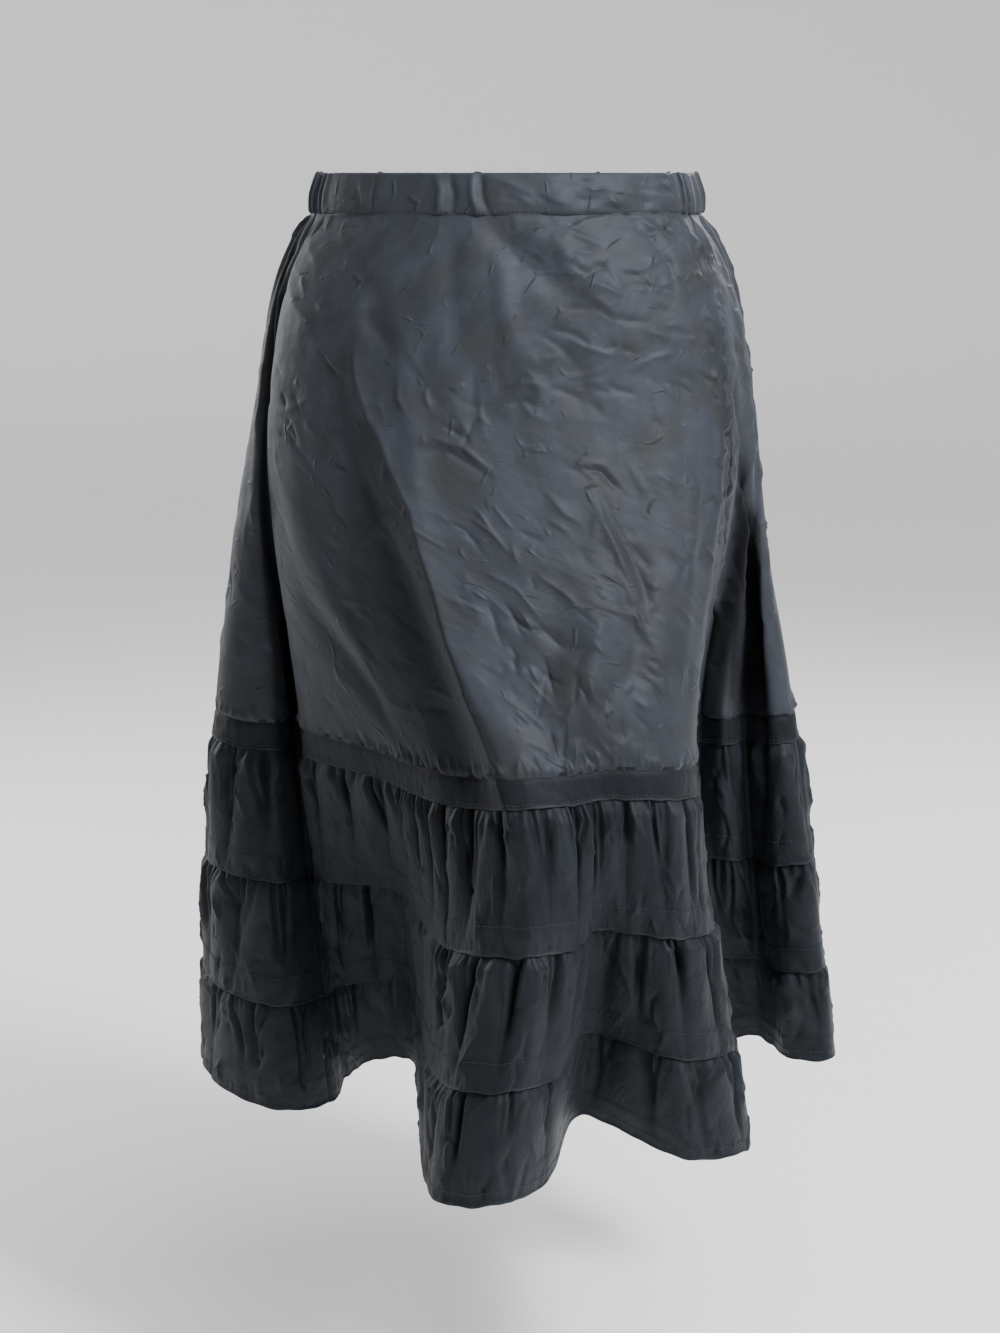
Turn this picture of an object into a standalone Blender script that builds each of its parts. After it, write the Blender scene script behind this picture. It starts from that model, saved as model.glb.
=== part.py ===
"""A tiered skirt, worn: elastic waist, smooth taffeta panels, a flat band and three gathered tiers.

The skirt hangs as it does on a standing wearer, with nobody in it. +Z is up and the camera side,
the skirt's front, faces -Y. The origin is the middle of the waist, half way up the waistband.

Every piece is a wall of cloth. Its outer face is read from one surface, which is given by lines that
run down the cloth from waist to hem. The table FOLDS has one row for each line, and says where it
passes the waist, the flat band and the hem. A line keeps the length that the cloth was cut to, so
where a fold swings outwards its hem hangs higher.
"""

import math
from collections import namedtuple

import bmesh
import bpy
import numpy as np

# Cut lengths down the cloth, in metres
WAISTBAND_DEPTH = 0.036
PANEL_LENGTH = 0.480
FLAT_BAND_DEPTH = 0.025
TIER_LENGTHS = (0.124, 0.116, 0.098)

# Places down the cloth, counted from the waist seam
HIGH_HIP = 0.055
HIP = 0.160
PANEL_END = PANEL_LENGTH
BAND_MIDDLE = PANEL_END + FLAT_BAND_DEPTH / 2
BAND_END = PANEL_END + FLAT_BAND_DEPTH
HEM = BAND_END + sum(TIER_LENGTHS)

# Half widths and half depths of the body that the skirt hangs on
WAIST_HALF = (0.177, 0.127)
HIGH_HIP_HALF = (0.204, 0.145)
HIP_HALF = (0.227, 0.163)

# Cloth thicknesses, and how the pieces meet
CLOTH = 0.0016
CASING = 0.0030
SEAM_GAP = 0.0003
LAP = 0.0012
SHARP_DEG = 30.0

# The waistband: its lean, its bulge, its ruching, and where its elastic starts, in degrees from the front
WAIST_TAPER = 0.0075
WAISTBAND_BULGE = 0.0012
WAIST_GATHERS = 34
WAIST_RIPPLE = 0.0024
ELASTIC_FROM = 58.0
ELASTIC_EASE = 8.0

# Soft folds in the panels below the elastic: their height, and how far down they start and end
WAIST_FOLD = 0.0050
WAIST_FOLD_PINCH = 0.15
WAIST_FOLD_START = 0.018
WAIST_FOLD_REACH = 0.17
WAIST_FOLD_FADE = 1.5

# A tier's gathers, and the puff of its cloth just below the seam that gathers it
FRONT_GATHERS = 22
BACK_GATHERS = 26
COLUMNS_PER_GATHER = 3
GATHER_UNEVENNESS = 0.22
GATHER_HEIGHT = 0.0062
GATHER_HEIGHT_RANGE = (0.65, 1.25)
GATHER_PINCH = 0.20
GATHER_FADE = 0.92
TIER_RISE = 0.10
TIER_PUFF = 0.0045
TIER_PUFF_FADE = 0.93
TIER_PUFF_CURVE = 1.3

# Where gathers lie flatter: down in a valley this deep, and this share of the way round from a side seam
FOLD_REACH = 0.016
TIGHT_VALLEY = 0.014
SEAM_REACH = 0.030

# Seeds of the uneven spacing and heights
WAIST_SEED = 11
COLUMN_SEED = 50
HEIGHT_SEED = 40

# One line down the cloth: its bearing at the waist, in degrees from the front towards the right,
# how far the hip lies inside the body's outline, and its place at the flat band and at the hem.
Fold = namedtuple("Fold", "name waist_deg hip_in band_x band_y hem_x hem_y")
FOLDS = (
    Fold("left_side", -92, 0.000, -0.279, 0.022, -0.302, 0.050),
    Fold("left_lobe_front", -86, 0.001, -0.250, -0.012, -0.266, -0.030),
    Fold("left_lobe_inner", -80, 0.003, -0.214, -0.016, -0.204, -0.074),
    Fold("left_seam", -75, 0.014, -0.199, 0.020, -0.170, -0.046),
    Fold("front_left_edge", -70, 0.002, -0.184, -0.056, -0.156, 0.008),
    Fold("left_slope", -64, 0.000, -0.144, -0.106, -0.130, 0.040),
    Fold("left_slope_back", -58, 0.000, -0.113, -0.138, -0.097, 0.030),
    Fold("left_flank", -51, 0.000, -0.084, -0.174, -0.081, -0.086),
    Fold("left_crest_shoulder", -44, 0.000, -0.054, -0.213, -0.070, -0.236),
    Fold("left_crest_turn", -39, 0.000, -0.022, -0.247, -0.054, -0.300),
    Fold("left_crest", -33, 0.000, 0.012, -0.269, -0.012, -0.316),
    Fold("left_crest_right", -18, 0.000, 0.047, -0.262, 0.030, -0.272),
    Fold("front_valley", 2, 0.003, 0.080, -0.250, 0.070, -0.150),
    Fold("right_crest_left", 18, 0.002, 0.110, -0.243, 0.118, -0.178),
    Fold("right_crest", 34, 0.000, 0.139, -0.232, 0.164, -0.208),
    Fold("right_crest_shoulder", 48, 0.000, 0.160, -0.204, 0.208, -0.184),
    Fold("right_flank", 58, 0.000, 0.168, -0.112, 0.219, -0.084),
    Fold("right_flank_back", 66, 0.002, 0.176, -0.038, 0.214, 0.024),
    Fold("right_seam", 73, 0.004, 0.185, 0.006, 0.224, 0.092),
    Fold("right_strip", 79, 0.001, 0.207, -0.008, 0.250, 0.110),
    Fold("right_small_valley", 84, 0.005, 0.228, 0.026, 0.270, 0.094),
    Fold("right_lobe_front", 89, 0.001, 0.246, -0.002, 0.288, 0.050),
    Fold("right_lobe_tip", 94, 0.000, 0.270, 0.000, 0.320, 0.040),
    Fold("right_side", 100, 0.000, 0.279, 0.034, 0.330, 0.086),
    Fold("right_back", 110, 0.000, 0.264, 0.088, 0.318, 0.144),
    Fold("right_back_valley", 120, 0.005, 0.230, 0.136, 0.262, 0.176),
    Fold("back_right_lobe_side", 132, 0.000, 0.196, 0.196, 0.246, 0.242),
    Fold("back_right_lobe", 144, 0.000, 0.140, 0.238, 0.166, 0.298),
    Fold("back_right_valley", 156, 0.005, 0.088, 0.234, 0.088, 0.208),
    Fold("back_lobe_right", 168, 0.001, 0.044, 0.260, 0.048, 0.286),
    Fold("back_lobe", 181, 0.000, -0.008, 0.268, -0.014, 0.318),
    Fold("back_lobe_left", 193, 0.001, -0.056, 0.252, -0.064, 0.276),
    Fold("back_left_valley", 205, 0.005, -0.096, 0.224, -0.094, 0.192),
    Fold("back_left_lobe", 218, 0.000, -0.142, 0.226, -0.150, 0.280),
    Fold("back_left_lobe_side", 231, 0.000, -0.198, 0.192, -0.232, 0.254),
    Fold("left_back_valley", 243, 0.005, -0.228, 0.136, -0.226, 0.164),
    Fold("left_back", 256, 0.000, -0.266, 0.086, -0.294, 0.136),
)
LEFT_SEAM = 3
RIGHT_SEAM = 18
FULL_TURN = 360.0

# Sampling of the solids down the cloth, as shares of each piece's length
PANEL_ROWS = (0.0, 0.05, 0.14, 0.28, 0.44, 0.62, 0.81, 1.0)
TIER_ROWS = (0.0, 0.10, 0.34, 0.76, 1.0)
DROP_STEPS = 120
SHARE_STEP = 0.0012


def smooth(knots, values, at, closed_by=None):
    """A smooth curve through values at knots, read at the places in at. closed_by is its period."""
    knots = np.asarray(knots, float)
    values = np.asarray(values, float)
    at = np.asarray(at, float)
    if closed_by is not None:
        at = at % closed_by
        knots = np.concatenate([knots[-2:] - closed_by, knots, knots[:2] + closed_by])
        values = np.concatenate([values[-2:], values, values[:2]])
    gaps = np.diff(knots)
    steps = np.diff(values, axis=0) / gaps.reshape(-1, *[1] * (values.ndim - 1))
    before = gaps[:-1].reshape(-1, *[1] * (values.ndim - 1))
    after = gaps[1:].reshape(before.shape)
    inner = (steps[:-1] * after + steps[1:] * before) / (before + after)
    slopes = np.concatenate([steps[:1], inner, steps[-1:]])
    i = np.clip(np.searchsorted(knots, at, side="right") - 1, 0, len(gaps) - 1)
    shape = (-1, *[1] * (values.ndim - 1))
    t = ((at - knots[i]) / gaps[i]).reshape(shape)
    gap = gaps[i].reshape(shape)
    return (
        values[i] * (1 + 2 * t) * (1 - t) ** 2
        + slopes[i] * gap * t * (1 - t) ** 2
        + values[i + 1] * t * t * (3 - 2 * t)
        + slopes[i + 1] * gap * t * t * (t - 1)
    )


def on_ellipse(half, bearing_deg, inside=0.0):
    """The point at a bearing on an ellipse with these half sizes, moved inwards."""
    bearing = np.radians(bearing_deg)
    x = (half[0] - inside) * np.sin(bearing)
    y = -(half[1] - inside) * np.cos(bearing)
    return np.stack([x, y], axis=-1)


def fold_points():
    """The lines' places in plan, by level and line, and the levels' places down the cloth."""
    bearing = np.array([f.waist_deg for f in FOLDS], float)
    hip_in = np.array([f.hip_in for f in FOLDS])
    levels = {
        0.0: on_ellipse(WAIST_HALF, bearing),
        HIGH_HIP: on_ellipse(HIGH_HIP_HALF, bearing, hip_in / 2),
        HIP: on_ellipse(HIP_HALF, bearing, hip_in),
        BAND_MIDDLE: np.array([(f.band_x, f.band_y) for f in FOLDS]),
        HEM: np.array([(f.hem_x, f.hem_y) for f in FOLDS]),
    }
    return np.array(list(levels)), np.array(list(levels.values()))


def line_shares(points):
    """Each line's share of the way round the cloth, from the mean of its way at band and hem."""
    shares = []
    for ring in (points[-2], points[-1]):
        steps = np.linalg.norm(np.roll(ring, -1, axis=0) - ring, axis=1)
        shares.append(np.concatenate([[0.0], np.cumsum(steps)[:-1]]) / steps.sum())
    return np.mean(shares, axis=0)


LEVELS, POINTS = fold_points()
SHARES = line_shares(POINTS)


def plan(share, down):
    """The plain cloth seen from above, at shares round it and lengths down it: rows by columns."""
    down = np.atleast_1d(down)
    lines = smooth(LEVELS, POINTS, down)
    return np.stack([smooth(SHARES, row, share, closed_by=1.0) for row in lines])


def outward(share, down):
    """The direction away from the wearer, level, at each place on the plain cloth."""
    along = plan(share + SHARE_STEP, down) - plan(share - SHARE_STEP, down)
    along /= np.linalg.norm(along, axis=-1, keepdims=True)
    return np.stack([along[..., 1], -along[..., 0]], axis=-1)


def around(share, down):
    """How many metres of cloth one whole share covers there."""
    along = plan(share + SHARE_STEP, down) - plan(share - SHARE_STEP, down)
    return np.linalg.norm(along, axis=-1) / (2 * SHARE_STEP)


def room(share, down):
    """1 where the cloth has room to rise outwards, and towards 0 down in a tight valley."""
    between = (plan(share + FOLD_REACH, down) + plan(share - FOLD_REACH, down)) / 2
    depth = ((between - plan(share, down)) * outward(share, down)).sum(axis=-1)
    return np.clip(1 - depth / TIGHT_VALLEY, 0.0, 1.0)


def off_seam(share):
    """0 on a side seam, where the cloth is held flat, rising to 1 a little way from it."""
    seams = np.array([SHARES[LEFT_SEAM], SHARES[RIGHT_SEAM]])
    away = np.abs((share[:, None] - seams + 0.5) % 1.0 - 0.5).min(axis=1)
    return np.minimum(1.0, away / SEAM_REACH)


def heights(share, down):
    """The height of each place: the cloth's length, less what it swings out from the wearer or in."""
    grid = np.linspace(0.0, HEM, DROP_STEPS)
    swing = np.diff(np.linalg.norm(plan(share, grid), axis=-1), axis=0)
    fall = np.sqrt(np.maximum(np.diff(grid)[:, None] ** 2 - swing**2, 0.0))
    drop = np.concatenate([np.zeros((1, len(share))), np.cumsum(fall, axis=0)])
    columns = [np.interp(down, grid, drop[:, k]) for k in range(len(share))]
    return -WAISTBAND_DEPTH / 2 - np.stack(columns, axis=-1)


def uneven(count, seed, spread):
    """Evenly spaced shares, each moved by up to that part of a space."""
    moved = np.random.default_rng(seed).uniform(-spread, spread, count)
    return (np.arange(count) + moved) / count


def wave(share, crests):
    """A wave round the cloth that is 1 at each crest and -1 half way between."""
    crests = np.concatenate([crests[-1:] - 1, crests, crests[:1] + 1])
    phase = np.interp(share, crests, np.arange(len(crests)))
    return np.cos(2 * math.pi * phase)


def cloth_columns():
    """The columns that all the cloth below the waistband shares, from the left seam all the way round."""
    left, right = SHARES[LEFT_SEAM], SHARES[RIGHT_SEAM]
    stretches = ((left, right, FRONT_GATHERS), (right, left + 1.0, BACK_GATHERS))
    parts = []
    for seed, (start, end, gathers) in enumerate(stretches):
        places = uneven(gathers * COLUMNS_PER_GATHER, COLUMN_SEED + seed, GATHER_UNEVENNESS)
        places[0] = 0.0
        parts.append(start + (end - start) * places)
    return np.concatenate(parts)


def ruching_columns():
    """The waistband's columns, with the first of each gather on its crest."""
    crests = uneven(WAIST_GATHERS, WAIST_SEED, GATHER_UNEVENNESS)
    ends = np.concatenate([crests, crests[:1] + 1])
    parts = np.arange(COLUMNS_PER_GATHER) / COLUMNS_PER_GATHER
    spread = ends[:-1, None] + np.diff(ends)[:, None] * parts
    return crests, np.sort(spread.ravel() % 1.0)


def between_seams(columns, front):
    """The columns of the front or the back, with the two side seams as its first and last."""
    left, right = SHARES[LEFT_SEAM], SHARES[RIGHT_SEAM]
    start, end = (left, right) if front else (right, left + 1.0)
    columns = np.concatenate([columns, columns + 1.0])
    inside = columns[(columns > start + SHARE_STEP) & (columns < end - SHARE_STEP)]
    return np.concatenate([[start], inside, [end]])


def seam_shares(columns, down):
    """The columns for each row, with the outer two drawn back by half a seam's gap."""
    shares = np.tile(columns, (len(down), 1))
    half = SEAM_GAP / 2
    shares[:, 0] += half / around(columns[:1], down)[:, 0]
    shares[:, -1] -= half / around(columns[-1:], down)[:, 0]
    return shares


def wall(name, material, outer, inward, thickness):
    """One closed wall of cloth from its outer points, rows by columns.

    Its edges are cut across the same way on every piece, so that two walls stay apart at their seam.
    """
    rows, columns = outer.shape[:2]
    inner = outer.copy()
    inner[..., :2] += inward * thickness
    made = bmesh.new()
    sides = [[[made.verts.new(p) for p in row] for row in grid] for grid in (outer, inner)]
    out, back = sides

    def face(*corners):
        made.faces.new(corners)

    def edge_face(here, there):
        made.faces.new((here[0], here[1], there[1]))
        made.faces.new((here[0], there[1], there[0]))

    for r in range(rows - 1):
        for c in range(columns - 1):
            face(out[r][c], out[r + 1][c], out[r + 1][c + 1], out[r][c + 1])
            face(back[r][c], back[r][c + 1], back[r + 1][c + 1], back[r + 1][c])
    for r in (0, rows - 1):
        for c in range(columns - 1):
            edge_face((out[r][c], back[r][c]), (out[r][c + 1], back[r][c + 1]))
    for c in (0, columns - 1):
        for r in range(rows - 1):
            edge_face((out[r][c], back[r][c]), (out[r + 1][c], back[r + 1][c]))
    bmesh.ops.recalc_face_normals(made, faces=made.faces)
    mesh = bpy.data.meshes.new(name)
    made.to_mesh(mesh)
    made.free()
    mesh.shade_smooth()
    mesh.set_sharp_from_angle(angle=math.radians(SHARP_DEG))
    mesh.materials.append(material)
    piece = bpy.data.objects.new(name, mesh)
    bpy.context.scene.collection.objects.link(piece)
    return piece


def hang(name, material, columns, down, lift):
    """A piece of the skirt: the plain cloth between two lengths, lifted outwards by lift(share, down)."""
    down = np.asarray(down, float)
    shares = seam_shares(columns, down)
    outer = np.zeros((len(down), len(columns), 3))
    inward = np.zeros((len(down), len(columns), 2))
    for r, place in enumerate(down):
        here = np.array([place])
        normal = outward(shares[r], here)[0]
        rise = lift(shares[r], place) * room(shares[r], here)[0] * off_seam(shares[r])
        outer[r, :, :2] = plan(shares[r], here)[0] + normal * rise[:, None]
        outer[r, :, 2] = heights(shares[r], here)[0]
        inward[r] = -normal
    return wall(name, material, outer, inward, CLOTH)


def cloth_material(name, colour, roughness):
    """A cloth's plain colour and roughness."""
    material = bpy.data.materials.new(name)
    material.use_nodes = True
    shader = material.node_tree.nodes["Principled BSDF"]
    shader.inputs["Base Color"].default_value = (*colour, 1.0)
    shader.inputs["Roughness"].default_value = roughness
    shader.inputs["Metallic"].default_value = 0.0
    return material


def panel_lift(share, down):
    """Soft folds that run down from the elastic, between the table's lines, all round but the front."""
    order = np.interp(share, np.concatenate([SHARES, SHARES + 1]), np.arange(2 * len(SHARES)))
    ripple = -np.cos(2 * math.pi * order) * elastic_share(share)
    rise = min(1.0, down / WAIST_FOLD_START)
    pinch = WAIST_FOLD_PINCH + (1 - WAIST_FOLD_PINCH) * rise
    fade = max(0.0, 1 - down / WAIST_FOLD_REACH) ** WAIST_FOLD_FADE
    return WAIST_FOLD * pinch * fade * ripple - LAP * (1 - rise)


def elastic_share(share):
    """1 where the waistband holds elastic, 0 along its plain front."""
    bearing = np.interp(
        share,
        np.concatenate([SHARES, SHARES + 1]),
        [f.waist_deg + turn for turn in (0.0, FULL_TURN) for f in FOLDS],
    )
    from_front = np.abs((bearing + FULL_TURN / 2) % FULL_TURN - FULL_TURN / 2)
    return np.clip((from_front - ELASTIC_FROM) / ELASTIC_EASE, 0.0, 1.0)


def tier_lift(number, start, length):
    """A tier's gathers and puff: pinched at the seam, fullest just below it, pressed flat at the hem."""
    crests = np.sort(cloth_columns()[number % COLUMNS_PER_GATHER :: COLUMNS_PER_GATHER] % 1.0)
    height = np.random.default_rng(HEIGHT_SEED + number).uniform(*GATHER_HEIGHT_RANGE, len(crests))

    def lift(share, down):
        t = (down - start) / length
        rise = min(1.0, t / TIER_RISE)
        pinch = GATHER_PINCH + (1 - GATHER_PINCH) * rise
        own = np.interp(share % 1.0, crests, height, period=1.0)
        folds = GATHER_HEIGHT * own * pinch * (1 - GATHER_FADE * t) * wave(share % 1.0, crests)
        return folds + TIER_PUFF * rise * (1 - TIER_PUFF_FADE * t**TIER_PUFF_CURVE) - LAP * (1 - rise)

    return lift


def waistband_lift(share, height, crests):
    """The waistband's casing leans in and bulges softly, with ruching where it holds elastic."""
    up = 0.5 + height / WAISTBAND_DEPTH
    ruche = WAIST_RIPPLE * elastic_share(share) * wave(share % 1.0, crests)
    return ruche + WAISTBAND_BULGE * 4 * up * (1 - up) - WAIST_TAPER * up


def make_waistband(name, material, front):
    """The front or back of the waist casing, level at its top and at the waist seam."""
    crests, columns = ruching_columns()
    columns = between_seams(columns, front)
    rows = (WAISTBAND_DEPTH / 2, 0.0, -WAISTBAND_DEPTH / 2 + SEAM_GAP)
    waist = np.array([0.0])
    shares = seam_shares(columns, waist)[0]
    normal = outward(shares, waist)[0]
    flat = plan(shares, waist)[0]
    outer = np.zeros((len(rows), len(columns), 3))
    for r, height in enumerate(rows):
        outer[r, :, :2] = flat + normal * waistband_lift(shares, height, crests)[:, None]
        outer[r, :, 2] = height
    inward = np.tile(-normal, (len(rows), 1, 1))
    return wall(name, material, outer, inward, CASING)


def make_panel(name, material, front):
    """The front or back taffeta panel, from the waist seam to the flat band."""
    down = np.array(PANEL_ROWS) * PANEL_LENGTH
    return hang(name, material, between_seams(cloth_columns(), front), down, panel_lift)


def make_flat_band(name, material, front):
    """The front or back of the flat band, which lies on the plain cloth's own surface."""
    down = (PANEL_END + SEAM_GAP, BAND_END)
    columns = between_seams(cloth_columns(), front)
    return hang(name, material, columns, down, lambda share, place: np.zeros(len(share)))


def make_tier(name, material, number, front):
    """The front or back of one gathered tier, counted from the top."""
    start = BAND_END + sum(TIER_LENGTHS[: number - 1])
    length = TIER_LENGTHS[number - 1]
    down = start + np.array(TIER_ROWS) * length
    down[0] += SEAM_GAP
    columns = between_seams(cloth_columns(), front)
    return hang(name, material, columns, down, tier_lift(number, start, length))


def build():
    for old in list(bpy.data.objects):
        bpy.data.objects.remove(old)
    taffeta = cloth_material("slate_taffeta", (0.055, 0.062, 0.074), 0.42)
    cotton = cloth_material("black_cotton", (0.022, 0.025, 0.030), 0.75)
    for side, front in (("front", True), ("back", False)):
        make_waistband(f"waistband_{side}", taffeta, front)
        make_panel(f"panel_{side}", taffeta, front)
        make_flat_band(f"flat_band_{side}", cotton, front)
        for number in (1, 2, 3):
            make_tier(f"tier_{number}_{side}", cotton, number, front)


build()
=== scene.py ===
# %% [markdown]
# # A tiered skirt in taffeta and crinkled cotton
# The skirt hangs as it is worn: an elastic waist, two smooth taffeta panels, a flat band and three
# gathered tiers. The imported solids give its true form. This lesson lays a thin sheet of cloth over each
# of them and gives it the gathers, folds, creases and sewing that make it look like cloth.

# %% Load the frame
import math
from collections import namedtuple

import bpy
import numpy as np
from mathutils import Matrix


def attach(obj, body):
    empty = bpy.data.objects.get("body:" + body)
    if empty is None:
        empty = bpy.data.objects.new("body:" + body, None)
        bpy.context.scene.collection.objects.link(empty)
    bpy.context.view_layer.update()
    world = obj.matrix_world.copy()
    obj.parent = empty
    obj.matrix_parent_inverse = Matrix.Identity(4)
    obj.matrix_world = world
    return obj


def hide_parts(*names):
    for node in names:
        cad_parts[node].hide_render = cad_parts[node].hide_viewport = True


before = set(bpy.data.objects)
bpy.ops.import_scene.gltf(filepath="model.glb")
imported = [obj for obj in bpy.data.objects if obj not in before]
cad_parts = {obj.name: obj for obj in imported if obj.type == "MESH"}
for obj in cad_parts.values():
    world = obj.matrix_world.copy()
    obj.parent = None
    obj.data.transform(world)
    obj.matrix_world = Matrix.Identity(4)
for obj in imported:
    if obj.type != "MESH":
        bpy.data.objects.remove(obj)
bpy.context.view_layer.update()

# %% [markdown]
# ## The camera
# The picture was taken from a little above the waist, tipped down by nearly 12 degrees. A long lens keeps
# the tiers from spreading too much, so the focal length matters as much as the distance.

# %% Camera
EYE = (-0.0054, -2.2, 0.018)
TIPPED_DOWN_DEG = 11.7
FOCAL_MM = 64.4
bpy.ops.object.select_all(action="DESELECT")
bpy.ops.object.camera_add(location=EYE, rotation=(math.radians(90 - TIPPED_DOWN_DEG), 0, 0))
camera = bpy.context.object
camera.name = "camera"
camera.data.sensor_width = 36.0
camera.data.lens = FOCAL_MM
bpy.context.scene.camera = camera
print("camera at", tuple(camera.location))

# %% [markdown]
# ## Floor and light
# Dark cloth shows its folds by sheen alone, so the lights matter more than the colour. A soft panel from
# the front right draws the folds, and weaker ones stand at the left and behind. A ceiling light and a pale
# world lift the shadows.

# %% Sizes, lights and colours
FLOOR_Z = -1.16
FLOOR_RADIUS = 14.0
BACKDROP_HEIGHT = 7.0
SWEEP_RADIUS = 5.0
SWEEP_SEGMENTS = 16
SWEEP_ANGLE_DEG = 60
PALE_FLOOR = (0.93, 0.93, 0.93, 1)
FLOOR_ROUGHNESS = 0.9
LIGHTS = (
    ("key", (2.0, -1.9, 1.9), 0.8, 185.0),
    ("left", (-2.5, 1.8, 0.3), 1.2, 48.0),
    ("behind", (1.6, 2.5, 1.2), 1.0, 62.0),
)
LIGHT_AIM = (0.0, 0.0, -0.42)
SUN_STRENGTH = 1.9
SUN_SPREAD_DEG = 55.0
SUN_LEAN_DEG = (26, 24)
ROOM_BRIGHTNESS = 0.17

# %% Floor
bpy.ops.object.select_all(action="DESELECT")
bpy.ops.mesh.primitive_cylinder_add(
    vertices=96,
    radius=FLOOR_RADIUS,
    depth=BACKDROP_HEIGHT,
    location=(0, 0, FLOOR_Z + BACKDROP_HEIGHT / 2),
)
floor = bpy.context.object
floor.name = "floor"
bpy.ops.object.mode_set(mode="EDIT")
bpy.ops.mesh.select_mode(type="FACE")
bpy.ops.mesh.select_all(action="DESELECT")
bpy.ops.object.mode_set(mode="OBJECT")
for side in floor.data.polygons:
    side.select = side.normal.z > 0.5
bpy.ops.object.mode_set(mode="EDIT")
bpy.ops.mesh.delete(type="FACE")
bpy.ops.mesh.select_all(action="SELECT")
bpy.ops.mesh.flip_normals()
bpy.ops.object.mode_set(mode="OBJECT")
sweep = floor.modifiers.new("sweep", "BEVEL")
sweep.width = SWEEP_RADIUS
sweep.segments = SWEEP_SEGMENTS
sweep.angle_limit = math.radians(SWEEP_ANGLE_DEG)
bpy.ops.object.modifier_apply(modifier="sweep")
bpy.ops.object.shade_smooth()
bpy.ops.object.transform_apply(location=True, rotation=False, scale=False)
floor_paint = bpy.data.materials.new("pale_floor")
floor_paint.use_nodes = True
paint = floor_paint.node_tree.nodes["Principled BSDF"].inputs
paint["Base Color"].default_value = PALE_FLOOR
paint["Roughness"].default_value = FLOOR_ROUGHNESS
floor.data.materials.append(floor_paint)

# %% Lights and world
for name, place, size, power in LIGHTS:
    bpy.ops.object.light_add(type="AREA", location=place)
    light = bpy.context.object
    light.name = f"light_{name}"
    light.data.size = size
    light.data.energy = power
    aim = np.subtract(LIGHT_AIM, place)
    level = math.hypot(aim[0], aim[1])
    light.rotation_euler = (math.atan2(level, -aim[2]), 0, math.atan2(-aim[0], aim[1]))

sun_lean = [math.radians(lean) for lean in SUN_LEAN_DEG]
bpy.ops.object.light_add(type="SUN", location=(0, 0, 3), rotation=(*sun_lean, 0))
sun = bpy.context.object
sun.name = "light_ceiling"
sun.data.energy = SUN_STRENGTH
sun.data.angle = math.radians(SUN_SPREAD_DEG)

world = bpy.data.worlds.new("pale_room")
bpy.context.scene.world = world
world.use_nodes = True
background = world.node_tree.nodes["Background"].inputs
background["Color"].default_value = (1, 1, 1, 1)
background["Strength"].default_value = ROOM_BRIGHTNESS
print(len(LIGHTS) + 1, "soft lights and a pale world")

# %% [markdown]
# ## The cloth's form
# Cloth on a body could be simulated, but these folds were pulled into place by hand before the picture,
# so they are laid out as lines that run down the cloth. Each row of the table is one line: its bearing at
# the waist, how far it lies inside the hip, and where it passes the flat band and the hem, in metres.

# %% Lengths down the cloth
WAISTBAND_DEPTH = 0.036
PANEL_END = 0.480
BAND_END = 0.505
TIER_LENGTHS = (0.124, 0.116, 0.098)
HEM = BAND_END + sum(TIER_LENGTHS)
HIGH_HIP = 0.055
HIP = 0.160
BAND_MIDDLE = (PANEL_END + BAND_END) / 2
WAIST_HALF = (0.177, 0.127)
HIGH_HIP_HALF = (0.204, 0.145)
HIP_HALF = (0.227, 0.163)

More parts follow.
